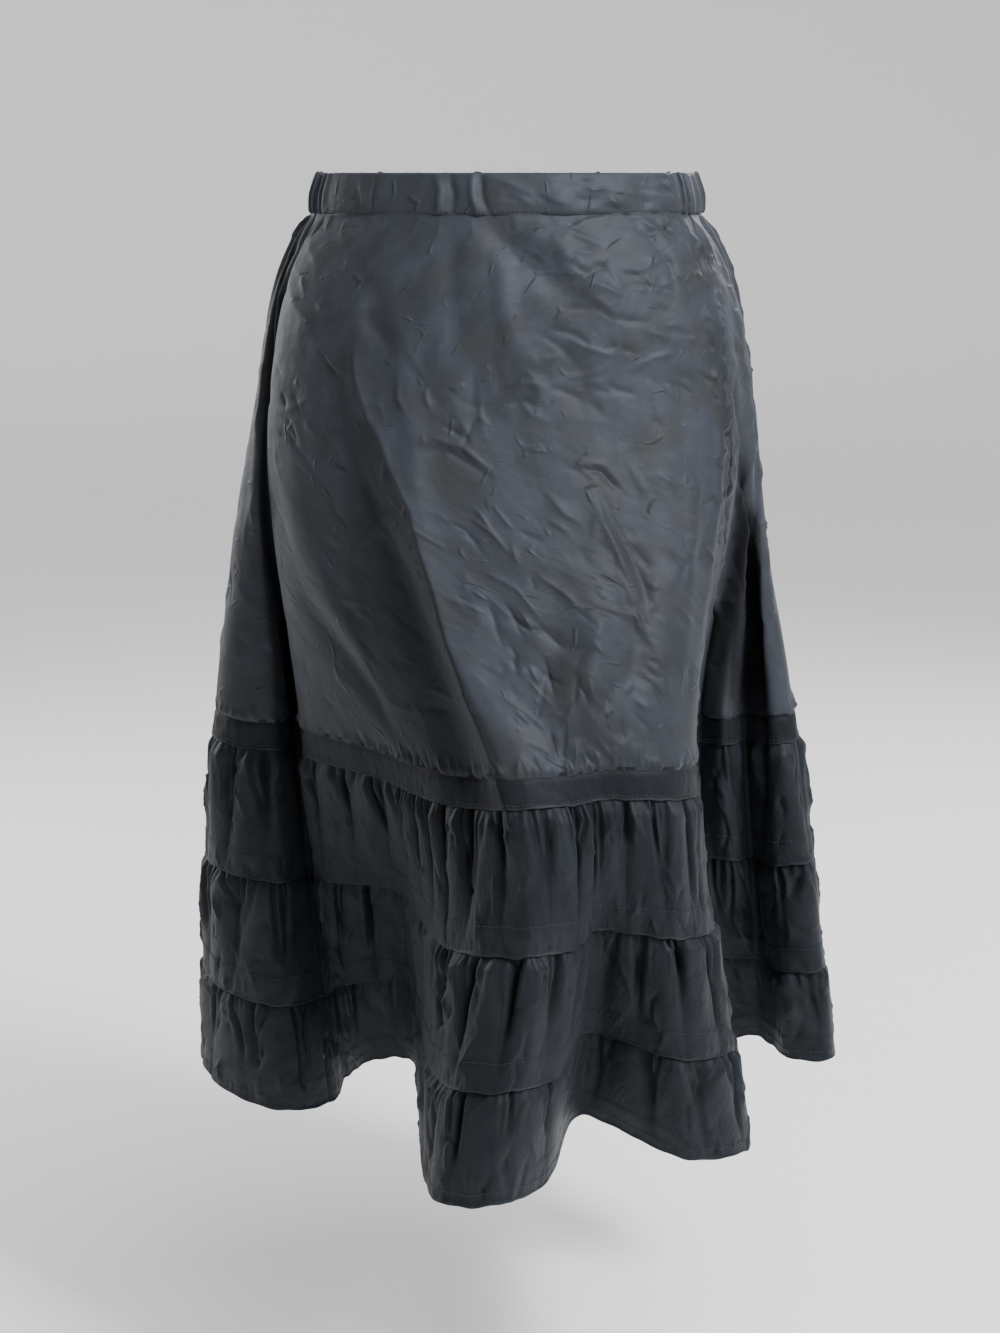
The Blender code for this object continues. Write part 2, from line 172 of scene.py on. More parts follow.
# %% The fold lines
Fold = namedtuple("Fold", "name waist_deg hip_in band_x band_y hem_x hem_y")
FOLDS = (
    Fold("left_side", -92, 0.000, -0.279, 0.022, -0.302, 0.050),
    Fold("left_lobe_front", -86, 0.001, -0.250, -0.012, -0.266, -0.030),
    Fold("left_lobe_inner", -80, 0.003, -0.214, -0.016, -0.204, -0.074),
    Fold("left_seam", -75, 0.014, -0.199, 0.020, -0.170, -0.046),
    Fold("front_left_edge", -70, 0.002, -0.184, -0.056, -0.156, 0.008),
    Fold("left_slope", -64, 0.000, -0.144, -0.106, -0.130, 0.040),
    Fold("left_slope_back", -58, 0.000, -0.113, -0.138, -0.097, 0.030),
    Fold("left_flank", -51, 0.000, -0.084, -0.174, -0.081, -0.086),
    Fold("left_crest_shoulder", -44, 0.000, -0.054, -0.213, -0.070, -0.236),
    Fold("left_crest_turn", -39, 0.000, -0.022, -0.247, -0.054, -0.300),
    Fold("left_crest", -33, 0.000, 0.012, -0.269, -0.012, -0.316),
    Fold("left_crest_right", -18, 0.000, 0.047, -0.262, 0.030, -0.272),
    Fold("front_valley", 2, 0.003, 0.080, -0.250, 0.070, -0.150),
    Fold("right_crest_left", 18, 0.002, 0.110, -0.243, 0.118, -0.178),
    Fold("right_crest", 34, 0.000, 0.139, -0.232, 0.164, -0.208),
    Fold("right_crest_shoulder", 48, 0.000, 0.160, -0.204, 0.208, -0.184),
    Fold("right_flank", 58, 0.000, 0.168, -0.112, 0.219, -0.084),
    Fold("right_flank_back", 66, 0.002, 0.176, -0.038, 0.214, 0.024),
    Fold("right_seam", 73, 0.004, 0.185, 0.006, 0.224, 0.092),
    Fold("right_strip", 79, 0.001, 0.207, -0.008, 0.250, 0.110),
    Fold("right_small_valley", 84, 0.005, 0.228, 0.026, 0.270, 0.094),
    Fold("right_lobe_front", 89, 0.001, 0.246, -0.002, 0.288, 0.050),
    Fold("right_lobe_tip", 94, 0.000, 0.270, 0.000, 0.320, 0.040),
    Fold("right_side", 100, 0.000, 0.279, 0.034, 0.330, 0.086),
    Fold("right_back", 110, 0.000, 0.264, 0.088, 0.318, 0.144),
    Fold("right_back_valley", 120, 0.005, 0.230, 0.136, 0.262, 0.176),
    Fold("back_right_lobe_side", 132, 0.000, 0.196, 0.196, 0.246, 0.242),
    Fold("back_right_lobe", 144, 0.000, 0.140, 0.238, 0.166, 0.298),
    Fold("back_right_valley", 156, 0.005, 0.088, 0.234, 0.088, 0.208),
    Fold("back_lobe_right", 168, 0.001, 0.044, 0.260, 0.048, 0.286),
    Fold("back_lobe", 181, 0.000, -0.008, 0.268, -0.014, 0.318),
    Fold("back_lobe_left", 193, 0.001, -0.056, 0.252, -0.064, 0.276),
    Fold("back_left_valley", 205, 0.005, -0.096, 0.224, -0.094, 0.192),
    Fold("back_left_lobe", 218, 0.000, -0.142, 0.226, -0.150, 0.280),
    Fold("back_left_lobe_side", 231, 0.000, -0.198, 0.192, -0.232, 0.254),
    Fold("left_back_valley", 243, 0.005, -0.228, 0.136, -0.226, 0.164),
    Fold("left_back", 256, 0.000, -0.266, 0.086, -0.294, 0.136),
)
FOLD_NAMES = [fold.name for fold in FOLDS]
LEFT_SEAM = FOLD_NAMES.index("left_seam")
RIGHT_SEAM = FOLD_NAMES.index("right_seam")
print(len(FOLDS), "lines down the cloth")


# %% [markdown]
# ## From lines to a surface
# A smooth curve through the lines at each level gives the cloth seen from above. A place on the cloth has
# two names: its share of the way round, from 0 to 1, and how far down the cloth it lies. The cloth keeps
# its cut length, so wherever a fold swings outwards its hem hangs higher, as it does on a real skirt.

# %% Small rules of shape
def unit(value):
    """The value, held between 0 and 1."""
    return np.clip(value, 0.0, 1.0)


def eased(t):
    """A share from 0 to 1 that starts and ends gently."""
    return t * t * (3 - 2 * t)


def bell(away, half):
    """A rounded hump, 1 in its middle and fallen to about a third at its half width."""
    return np.exp(-((away / half) ** 2))


def thrice(shares, period=1):
    """Places round the cloth, with those one way round before and after them."""
    return np.concatenate([shares - period, shares, shares + period])


def crest_phase(share, crests):
    """A count of crests passed, smooth between them, whole at each crest."""
    return np.interp(share, thrice(crests), np.arange(-len(crests), 2 * len(crests)))


# %% Curves through the lines
def smooth(knots, values, at, closed_by=None):
    """A smooth curve through values at knots, read at the places in at. closed_by is its period."""
    knots = np.asarray(knots, float)
    values = np.asarray(values, float)
    at = np.asarray(at, float)
    if closed_by is not None:
        at = at % closed_by
        knots = np.concatenate([knots[-2:] - closed_by, knots, knots[:2] + closed_by])
        values = np.concatenate([values[-2:], values, values[:2]])
    tail = [1] * (values.ndim - 1)
    gaps = np.diff(knots)
    steps = np.diff(values, axis=0) / gaps.reshape(-1, *tail)
    before = gaps[:-1].reshape(-1, *tail)
    after = gaps[1:].reshape(-1, *tail)
    inner = (steps[:-1] * after + steps[1:] * before) / (before + after)
    slopes = np.concatenate([steps[:1], inner, steps[-1:]])
    i = np.clip(np.searchsorted(knots, at, side="right") - 1, 0, len(gaps) - 1)
    t = ((at - knots[i]) / gaps[i]).reshape(-1, *tail)
    gap = gaps[i].reshape(-1, *tail)
    return (
        values[i] * (1 + 2 * t) * (1 - t) ** 2
        + slopes[i] * gap * t * (1 - t) ** 2
        + values[i + 1] * t * t * (3 - 2 * t)
        + slopes[i + 1] * gap * t * t * (t - 1)
    )


def on_ellipse(half, bearing_deg, inside=0.0):
    """The point at a bearing on an ellipse with these half sizes, moved inwards."""
    bearing = np.radians(bearing_deg)
    across = (half[0] - inside) * np.sin(bearing)
    return np.stack([across, -(half[1] - inside) * np.cos(bearing)], axis=-1)


WAIST_BEARINGS = np.array([fold.waist_deg for fold in FOLDS], float)
HIP_IN = np.array([fold.hip_in for fold in FOLDS])
LEVELS = np.array([0.0, HIGH_HIP, HIP, BAND_MIDDLE, HEM])
POINTS = np.array(
    [
        on_ellipse(WAIST_HALF, WAIST_BEARINGS),
        on_ellipse(HIGH_HIP_HALF, WAIST_BEARINGS, HIP_IN / 2),
        on_ellipse(HIP_HALF, WAIST_BEARINGS, HIP_IN),
        [(fold.band_x, fold.band_y) for fold in FOLDS],
        [(fold.hem_x, fold.hem_y) for fold in FOLDS],
    ]
)


def line_shares():
    """Each line's share of the way round, from the mean of its way at the band and at the hem."""
    shares = []
    for ring in (POINTS[-2], POINTS[-1]):
        steps = np.linalg.norm(np.roll(ring, -1, axis=0) - ring, axis=1)
        shares.append(np.concatenate([[0.0], np.cumsum(steps)[:-1]]) / steps.sum())
    return np.mean(shares, axis=0)


SHARES = line_shares()
LEFT_SHARE = SHARES[LEFT_SEAM]
RIGHT_SHARE = SHARES[RIGHT_SEAM]
print("the front lies between the shares", round(LEFT_SHARE, 3), "and", round(RIGHT_SHARE, 3))

# %% The plain surface
FALL_STEPS = 260
FALL_COLUMNS = 1500
SHARE_STEP = 0.0012
WOBBLE = 0.0006
WOBBLE_WAVES = ((17, 0.3), (29, 2.1), (46, 4.0), (71, 1.2), (103, 5.1))
WOBBLE_FROM = 0.44
WOBBLE_GROWS_OVER = 0.10
WOBBLE_SLANT = 9.0
WOBBLE_EVENED = 1.6


def plan(share, down):
    """The plain cloth seen from above: share is rows by columns, down has one length for each row."""
    lines = smooth(LEVELS, POINTS, np.maximum(down, 0.0))
    return np.stack([smooth(SHARES, line, row, closed_by=1.0) for line, row in zip(lines, share)])


FALL_DOWN = np.linspace(0.0, HEM, FALL_STEPS)
FALL_SHARE = np.linspace(0.0, 1.0, FALL_COLUMNS)


def fall_table():
    """How far each place has fallen: the cloth's length, less what it swings in or out."""
    rings = plan(np.tile(FALL_SHARE, (FALL_STEPS, 1)), FALL_DOWN)
    swing = np.diff(np.linalg.norm(rings, axis=-1), axis=0)
    fall = np.sqrt(np.maximum(np.diff(FALL_DOWN)[:, None] ** 2 - swing**2, 0.0))
    return np.concatenate([np.zeros((1, FALL_COLUMNS)), np.cumsum(fall, axis=0)])


FALL = fall_table()


def heights(share, down):
    """The height of each place on the cloth, read from the table of falls."""
    row = unit(down / HEM) * (FALL_STEPS - 1)
    r = np.minimum(row.astype(int), FALL_STEPS - 2)[:, None]
    part = row[:, None] - r
    column = (share % 1.0) * (FALL_COLUMNS - 1)
    c = np.minimum(column.astype(int), FALL_COLUMNS - 2)
    side = column - c
    upper = FALL[r, c] * (1 - side) + FALL[r, c + 1] * side
    lower = FALL[r + 1, c] * (1 - side) + FALL[r + 1, c + 1] * side
    above = np.minimum(down, 0.0)[:, None]
    return -WAISTBAND_DEPTH / 2 - (upper * (1 - part) + lower * part) - above


def wobble(share, down):
    """A slight unevenness in how low the gathered seams hang, alike on all the pieces that meet there."""
    below = unit((down - WOBBLE_FROM) / WOBBLE_GROWS_OVER)[:, None]
    turn = 2 * math.pi * share
    slant = WOBBLE_SLANT * down[:, None]
    waves = [np.sin(count * turn + start + slant) for count, start in WOBBLE_WAVES]
    return WOBBLE * below * sum(waves) / WOBBLE_EVENED


def plain_points(share, down):
    """The plain cloth's points, rows by columns."""
    level = heights(share, down) + wobble(share, down)
    return np.concatenate([plan(share, down), level[..., None]], axis=-1)


def around(share, down):
    """How many metres of cloth one whole share covers at one place."""
    pair = plan(np.array([[share - SHARE_STEP, share + SHARE_STEP]]), np.array([down]))[0]
    return float(np.linalg.norm(pair[1] - pair[0])) / (2 * SHARE_STEP)


print("the hem hangs", round(FALL[-1].min(), 3), "to", round(FALL[-1].max(), 3), "m below the waist")

# %% [markdown]
# ## Room for relief
# Gathers stand out from the plain surface. Down in a tight valley two layers nearly touch, so the relief
# is held back there, and on the side seams the cloth is held flat.

# %% Where relief is held back
FOLD_REACH = 0.016
TIGHT_VALLEY = 0.014
SEAM_REACH = 0.030


def level_outward(share, down):
    """The level direction away from the wearer at each place."""
    along = plan(share + SHARE_STEP, down) - plan(share - SHARE_STEP, down)
    along /= np.linalg.norm(along, axis=-1, keepdims=True)
    return np.stack([along[..., 1], -along[..., 0]], axis=-1)


def hollow_depth(share, down, reach):
    """How deep each place lies between the places so far round on either side, in metres."""
    between = (plan(share + reach, down) + plan(share - reach, down)) / 2
    return ((between - plan(share, down)) * level_outward(share, down)).sum(axis=-1)


def room(share, down):
    """1 where the cloth has room to rise outwards, and towards 0 down in a tight valley."""
    return unit(1 - hollow_depth(share, down, FOLD_REACH) / TIGHT_VALLEY)


def off_seam(share, reach=SEAM_REACH):
    """0 on a side seam, rising to 1 a little way from it."""
    seams = np.array([LEFT_SHARE, RIGHT_SHARE])
    away = np.abs((share[..., None] - seams + 0.5) % 1.0 - 0.5).min(axis=-1)
    return np.minimum(1.0, away / reach)


# %% [markdown]
# ## Pressing creases into the cloth
# A crease could be sculpted, but here each one is a short line on the cloth with a width and a height in
# millimetres: above 0 it is a ridge, below 0 a trough. A soft one is round in section. A crisp one, as in
# taffeta, comes to an edge, so it is lit on one side and dark on the other.

# %% Creases
Crease = namedtuple("Crease", "line width_mm height_mm crisp", defaults=(False,))
CRISP_WIDTH_MM = 6.0
CRISP_LIFT = 1.8
CRISP_FALL = 1.5
WIDTHS_REACHED = 3
TAPER_SHARE = 0.35
TAPERED_TO = 0.25
FAR = 9.0
MOST_BEND = 0.3
PUCKER_LEAN = 0.35


def crease_table(*rows):
    """Creases from rows of a line, a width and a height, with True at the end for a crisp one."""
    return [Crease(*row) for row in rows]


def distance_to(line, scale, share, down):
    """How far each place lies from a line on the cloth, in metres, and how far along it, from 0 to 1."""
    ends = np.array(line, float) * (scale, 1.0)
    steps = np.diff(ends, axis=0)
    lengths = np.hypot(steps[:, 0], steps[:, 1])
    starts = np.concatenate([[0.0], np.cumsum(lengths)])
    best = np.full(share.shape, FAR)
    along = np.zeros(share.shape)
    for start, step, length, passed in zip(ends[:-1], steps, lengths, starts):
        x = share * scale - start[0]
        y = down - start[1]
        t = unit((x * step[0] + y * step[1]) / length**2)
        away = np.hypot(x - t * step[0], y - t * step[1])
        nearer = away < best
        best = np.where(nearer, away, best)
        along = np.where(nearer, (passed + t * length) / starts[-1], along)
    return best, along


def press(relief, share, down, crease):
    """Adds one crease to the relief, on the few rows and columns that it reaches."""
    width = crease.width_mm / 1000
    line = [(way / 100, depth / 100) for way, depth in crease.line]
    ways = [way for way, _ in line]
    depths = [depth for _, depth in line]
    scale = around(sum(ways) / len(ways), sum(depths) / len(depths))
    reach = WIDTHS_REACHED * width
    rows = np.flatnonzero((down > min(depths) - reach) & (down < max(depths) + reach))
    near = (share > min(ways) - reach / scale) & (share < max(ways) + reach / scale)
    columns = np.flatnonzero(near.any(axis=0))
    if len(rows) == 0 or len(columns) == 0:
        return
    rows = slice(rows[0], rows[-1] + 1)
    columns = slice(columns[0], columns[-1] + 1)
    away, along = distance_to(line, scale, share[rows, columns], down[rows, None])
    fade = TAPERED_TO + (1 - TAPERED_TO) * eased(unit(np.minimum(along, 1 - along) / TAPER_SHARE))
    if crease.crisp or crease.width_mm < CRISP_WIDTH_MM:
        section = CRISP_LIFT * np.exp(-CRISP_FALL * away / width)
    else:
        section = bell(away, width)
    relief[rows, columns] += crease.height_mm / 1000 * section * fade


def scattered(seed, count, way, down_cm, lean_deg, length_mm, width_mm, height_mm):
    """Short creases strewn over one part of the cloth, each with its own place, lean, size and bend."""
    rng = np.random.default_rng(seed)
    made = []
    for _ in range(count):
        middle = np.array([rng.uniform(*way), rng.uniform(*down_cm)])
        lean = math.radians(rng.uniform(*lean_deg))
        half = rng.uniform(*length_mm) / 2000
        bend = rng.uniform(-MOST_BEND, MOST_BEND) * half
        way_size = around(middle[0] / 100, middle[1] / 100) / 100
        reach = np.array([math.sin(lean) * half / way_size, math.cos(lean) * half * 100])
        bulge = np.array([math.cos(lean) * bend / way_size, -math.sin(lean) * bend * 100])
        points = (middle - reach, middle + bulge, middle + reach)
        line = tuple(tuple(map(float, point)) for point in points)
        height = rng.uniform(*height_mm) * (1 if rng.random() < 0.55 else -1)
        made.append(Crease(line, rng.uniform(*width_mm), height))
    return made


def tucks(seed, way, at_cm, spacing_mm, length_mm, width_mm, height_mm, upwards):
    """Short tucks that a seam pulls into the cloth, unevenly spaced along it."""
    rng = np.random.default_rng(seed)
    made = []
    place = way[0]
    while place < way[1]:
        length = rng.uniform(*length_mm) / 10 * (-1 if upwards else 1)
        way_size = around(place / 100, max(at_cm, 0.0) / 100) / 100
        lean = rng.uniform(-PUCKER_LEAN, PUCKER_LEAN) * abs(length) / 100 / way_size
        middle = (place + lean * 0.4, at_cm + length * 0.5)
        line = ((place, at_cm), middle, (place + lean, at_cm + length))
        height = rng.uniform(*height_mm) * (1 if rng.random() < 0.5 else -1)
        made.append(Crease(line, rng.uniform(*width_mm), height))
        place += rng.uniform(*spacing_mm) / 1000 / way_size
    return made


def pressed(creases, share, down):
    """A flat relief with all these creases pressed into it."""
    relief = np.zeros(share.shape)
    for crease in creases:
        press(relief, share, down, crease)
    return relief


# %% [markdown]
# ## A sheet of cloth as a mesh
# Each piece is a grid of points: rows down the cloth, columns round it. Numbers are handed to Blender all
# at once, because a loop over so many points would be slow. The grid also gets a flat map of the cloth in
# metres, which the weave follows, a mark for a painted highlight where an edge or seam catches the light,
# and a mark for painted shade deep in the folds.

# %% Sheets
SHEETS = {}
GRIDS = {}
SIDES = ("front", "back")
SPARE = 2
EDGE_STEPS = (0.35, 0.8, 1.5, 2.6)
TURN = ((0.25, 0.12), (0.42, 0.50), (0.25, 0.88))


def trimmed(grid):
    """A grid without its spare columns beyond the seams."""
    return grid[:, SPARE:-SPARE]


def by_row(lengths, columns):
    """A grid whose columns are all alike."""
    return np.tile(lengths[:, None], (1, columns))


def surface_normals(points):
    """The direction straight out of the cloth at each point of a grid."""
    normal = np.cross(np.gradient(points, axis=0), np.gradient(points, axis=1))
    return normal / np.linalg.norm(normal, axis=-1, keepdims=True)


def flat_across(plain):
    """Metres across the cloth, measured along each row of a plain surface from its middle column."""
    steps = np.linalg.norm(np.diff(plain[..., :2], axis=1), axis=-1)
    way = np.concatenate([np.zeros((len(plain), 1)), np.cumsum(steps, axis=1)], axis=1)
    return way - way[:, way.shape[1] // 2][:, None]


def lay(share, down, relief):
    """The finished points of a sheet: the plain cloth, raised straight out by the relief."""
    plain = plain_points(share, down)
    return plain + surface_normals(plain) * relief[..., None]


def turned_under(points, normals, thickness, rows_up):
    """The rows that go round a folded edge and back up the inside, below the last row."""
    down = points[-1] - points[-2]
    down /= np.linalg.norm(down, axis=-1, keepdims=True)
    out = normals[-2]
    turn = [points[-1] + low * thickness * down - inward * thickness * out for low, inward in TURN]
    inside = points[-1 : -1 - rows_up : -1] - normals[-1 : -1 - rows_up : -1] * thickness
    return np.concatenate([np.stack(turn), inside])


def sheet_object(name, points, flat_map, pale, dark):
    """A mesh object from a grid of points, with its flat map, its painted edge highlights and its painted
    fold shade.
    """
    rows, columns = points.shape[:2]
    index = np.arange(rows * columns).reshape(rows, columns)
    corners = (index[:-1, :-1], index[1:, :-1], index[1:, 1:], index[:-1, 1:])
    faces = np.stack(corners, axis=-1).reshape(-1, 4)
    mesh = bpy.data.meshes.new(name)
    mesh.from_pydata(points.reshape(-1, 3), [], faces)
    mesh.shade_smooth()
    flat = mesh.uv_layers.new(name="flat_cloth")
    flat.data.foreach_set("uv", flat_map.reshape(-1, 2)[faces.ravel()].astype(np.float32).ravel())
    for mark, values in (("edge_highlight", pale), ("painted_fold_shade", dark)):
        marks = mesh.attributes.new(mark, "FLOAT", "POINT").data
        marks.foreach_set("value", values.astype(np.float32).ravel())
    piece = bpy.data.objects.new(name, mesh)
    bpy.context.scene.collection.objects.link(piece)
    SHEETS[name] = piece
    GRIDS[name] = points
    print(name, "has", 2 * len(faces), "triangles")


def half_columns(side, count):
    """Shares across the front or the back, with spare columns beyond each seam to keep normals true."""
    start, end = (LEFT_SHARE, RIGHT_SHARE) if side == "front" else (RIGHT_SHARE, LEFT_SHARE + 1.0)
    step = (end - start) / (count - 1)
    columns = np.linspace(start - SPARE * step, end + SPARE * step, count + 2 * SPARE)
    for k, near in enumerate(EDGE_STEPS, 1):
        columns[SPARE + k] = start + near * step
        columns[-1 - SPARE - k] = end - near * step
    columns[:SPARE] = start - EDGE_STEPS[0] * step * np.arange(SPARE, 0, -1)
    columns[-SPARE:] = end + EDGE_STEPS[0] * step * np.arange(1, SPARE + 1)
    return columns


# %% [markdown]
# ## Sharp folds and painted fold shade
# Four sharp folds run on from piece to piece: the crest left of the middle with the slope beside it, and a
# furrow at each edge of the front. Deep between two folds the cloth should be darker than the lamps alone
# make it, so shade is painted in: the sheets carry a second mark that darkens their finish. Its tables
# give, for lengths down the cloth in centimetres, where the painted shade lies in percent of the way round,
# how wide it is and how strong.

# %% Sharp folds that run on from piece to piece
CREST = (
    (26.0, 13.0), (27.2, 19.5), (27.5, 25.5), (26.9, 32.2), (26.3, 36.4),
    (25.9, 41.3), (25.9, 48.1), (26.2, 53.0), (26.8, 61.0),
)
CREST_SLOPE = (
    (25.2, 18.0), (25.6, 25.5), (25.0, 32.2), (24.4, 36.4),
    (24.0, 41.3), (24.0, 48.1), (24.4, 58.0),
)
LEFT_FOLD = (
    (4.0, 0.0), (4.6, 8.0), (5.3, 14.0), (5.8, 20.0), (6.2, 26.0),
    (6.8, 33.0), (7.2, 40.0), (7.3, 50.0), (7.4, 62.0),
)
RIGHT_VALLEY = (
    (46.0, 17.0), (48.0, 21.8), (50.8, 28.5), (52.0, 36.4),
    (52.8, 44.4), (53.0, 50.0), (53.0, 56.0),
)
FORM_CREASES = crease_table(
    (CREST, 26, 8.0, True),
    (CREST_SLOPE, 24, -10.0),
    (LEFT_FOLD, 9, -10.0),
    (RIGHT_VALLEY, 12, -14.0),
)

# %% Painted shade in the folds: rows of a length down, a way round, a half width and a strength
LEFT_FOLD_SHADE = (
    (0.0, 4.2, 0.8, 0.5),
    (6.0, 5.0, 1.3, 0.9),
    (12.0, 6.2, 2.3, 1.0),
    (19.0, 7.9, 3.2, 1.0),
    (26.0, 8.6, 3.2, 1.0),
    (33.0, 8.4, 2.4, 0.7),
    (40.0, 7.7, 1.8, 0.45),
    (48.0, 7.2, 1.5, 0.3),
    (52.0, 7.0, 1.4, 0.2),
)
CREST_SIDE_SHADE = (  # here the way to the left, the way to the right, and the strength
    (9.0, 24.6, 25.8, 0.0),
    (13.0, 23.6, 26.0, 0.35),
    (19.5, 23.2, 27.2, 0.45),
    (25.5, 22.0, 27.5, 0.52),
    (32.2, 17.0, 26.9, 0.56),
    (36.4, 14.5, 26.4, 0.64),
    (41.3, 14.0, 26.2, 0.63),
    (48.1, 15.0, 26.3, 0.65),
    (53.0, 19.0, 26.2, 0.44),
    (61.0, 20.0, 26.8, 0.30),
    (84.0, 20.0, 26.8, 0.24),
)
CREST_SOFT_SIDE = 6.0
CREST_SHARP_SIDE = 0.3
LEFT_LOBE_SHADE = (
    (16.0, 3.0, 2.6, 0.0),
    (26.0, 3.2, 3.0, 0.22),
    (36.0, 3.4, 3.4, 0.30),
    (47.9, 3.4, 3.6, 0.22),
)
LEFT_SLOPE_SHADE = (
    (8.0, 17.0, 3.5, 0.0),
    (16.0, 18.6, 4.6, 0.14),
    (24.0, 20.4, 6.4, 0.22),
    (30.0, 19.8, 6.9, 0.34),
    (38.0, 17.4, 8.2, 0.46),
    (48.0, 16.8, 8.8, 0.50),
    (60.0, 17.4, 8.2, 0.42),
    (68.0, 17.0, 8.0, 0.30),
)
RIGHT_FRONT_SHADE = (
    (16.0, 34.0, 3.0, 0.0),
    (26.0, 34.2, 4.0, 0.12),
    (36.0, 34.2, 4.6, 0.16),
    (47.9, 34.0, 5.4, 0.26),
)
RIGHT_FLANK_SHADE = (
    (4.0, 40.0, 1.6, 0.10),
    (10.0, 40.8, 2.2, 0.25),
    (20.0, 41.4, 2.9, 0.36),
    (30.0, 42.4, 3.7, 0.30),
    (40.0, 43.4, 4.2, 0.20),
    (49.0, 43.6, 4.2, 0.10),
)
RIGHT_VALLEY_SHADE = (
    (19.0, 45.6, 0.8, 0.0),
    (22.0, 46.8, 1.3, 0.6),
    (28.6, 50.2, 2.1, 0.95),
    (36.5, 50.9, 2.2, 1.0),
    (44.3, 51.6, 1.8, 1.0),
    (47.9, 52.1, 1.3, 0.8),
    (49.0, 52.1, 1.3, 0.2),
)
SHADE_TABLES = (
    LEFT_FOLD_SHADE,
    LEFT_LOBE_SHADE,
    LEFT_SLOPE_SHADE,
    RIGHT_FRONT_SHADE,
    RIGHT_FLANK_SHADE,
    RIGHT_VALLEY_SHADE,
)
OUTSIDE_A_TABLE = (-99.0, 1.0, 0.0)  # nowhere near, and without strength
HOLLOW_REACH = 0.035
HOLLOW_DEPTH = 0.060
HOLLOW_SHADE = 0.50
# Places where no painted hollow shade is laid.
UNSHADED_FLANK = (0.470, 0.030)  # way round and half width, in shares: no hollow shade here
UNSHADED_FOLD = (0.074, 0.022)


def form_relief(share, down):
    """The relief of the sharp folds, alike on all the pieces that they cross."""
    return pressed(FORM_CREASES, share, down) + pressed(FORM_CREASES, share - 1.0, down)


def hollow_shade(share, down):
    """How much shade is painted at a place: 0 in the open, towards 1 deep between two folds."""
    shade = HOLLOW_SHADE * unit(hollow_depth(share, down, HOLLOW_REACH) / HOLLOW_DEPTH)
    for way, half in (UNSHADED_FLANK, UNSHADED_FOLD):
        away = (share - way + 0.5) % 1.0 - 0.5
        shade *= 1 - np.exp(-((away / half) ** 4))
    return shade


def read_table(table, down, outside=(None, None, None)):
    """A table's later columns at each length down; outside gives them for lengths beyond its ends."""
    at, *columns = np.array(table).T
    return [
        np.interp(down, at / 100, column, left=beyond, right=beyond)[:, None]
        for column, beyond in zip(columns, outside)
    ]


def fold_shade(share, down):
    """How much shade is painted into the deep folds and on the crest's left side, from their tables."""
    dark = np.zeros(share.shape)
    for table in SHADE_TABLES:
        way, half, strength = read_table(table, down, OUTSIDE_A_TABLE)
        away = (share * 100 - way + 50) % 100 - 50
        dark = np.maximum(dark, strength * np.exp(-((away / half) ** 4)))
    left, right, strength = read_table(CREST_SIDE_SHADE, down)
    way = (share * 100 + 20) % 100 - 20
    soft = unit((way - left) / CREST_SOFT_SIDE + 0.5)
    sharp = unit((right - way) / CREST_SHARP_SIDE + 0.5)
    return np.maximum(dark, strength * eased(soft) * sharp)


# %% [markdown]
# ## The taffeta panels
# Taffeta is crisp: it falls in broad, flat-sided folds and takes short sharp creases, most of them where it
# was folded away and where the hip strains it. The broad folds are in the lines above. The creases are
# placed one by one, from the way they lie on the cloth: percent of the way round, centimetres down.

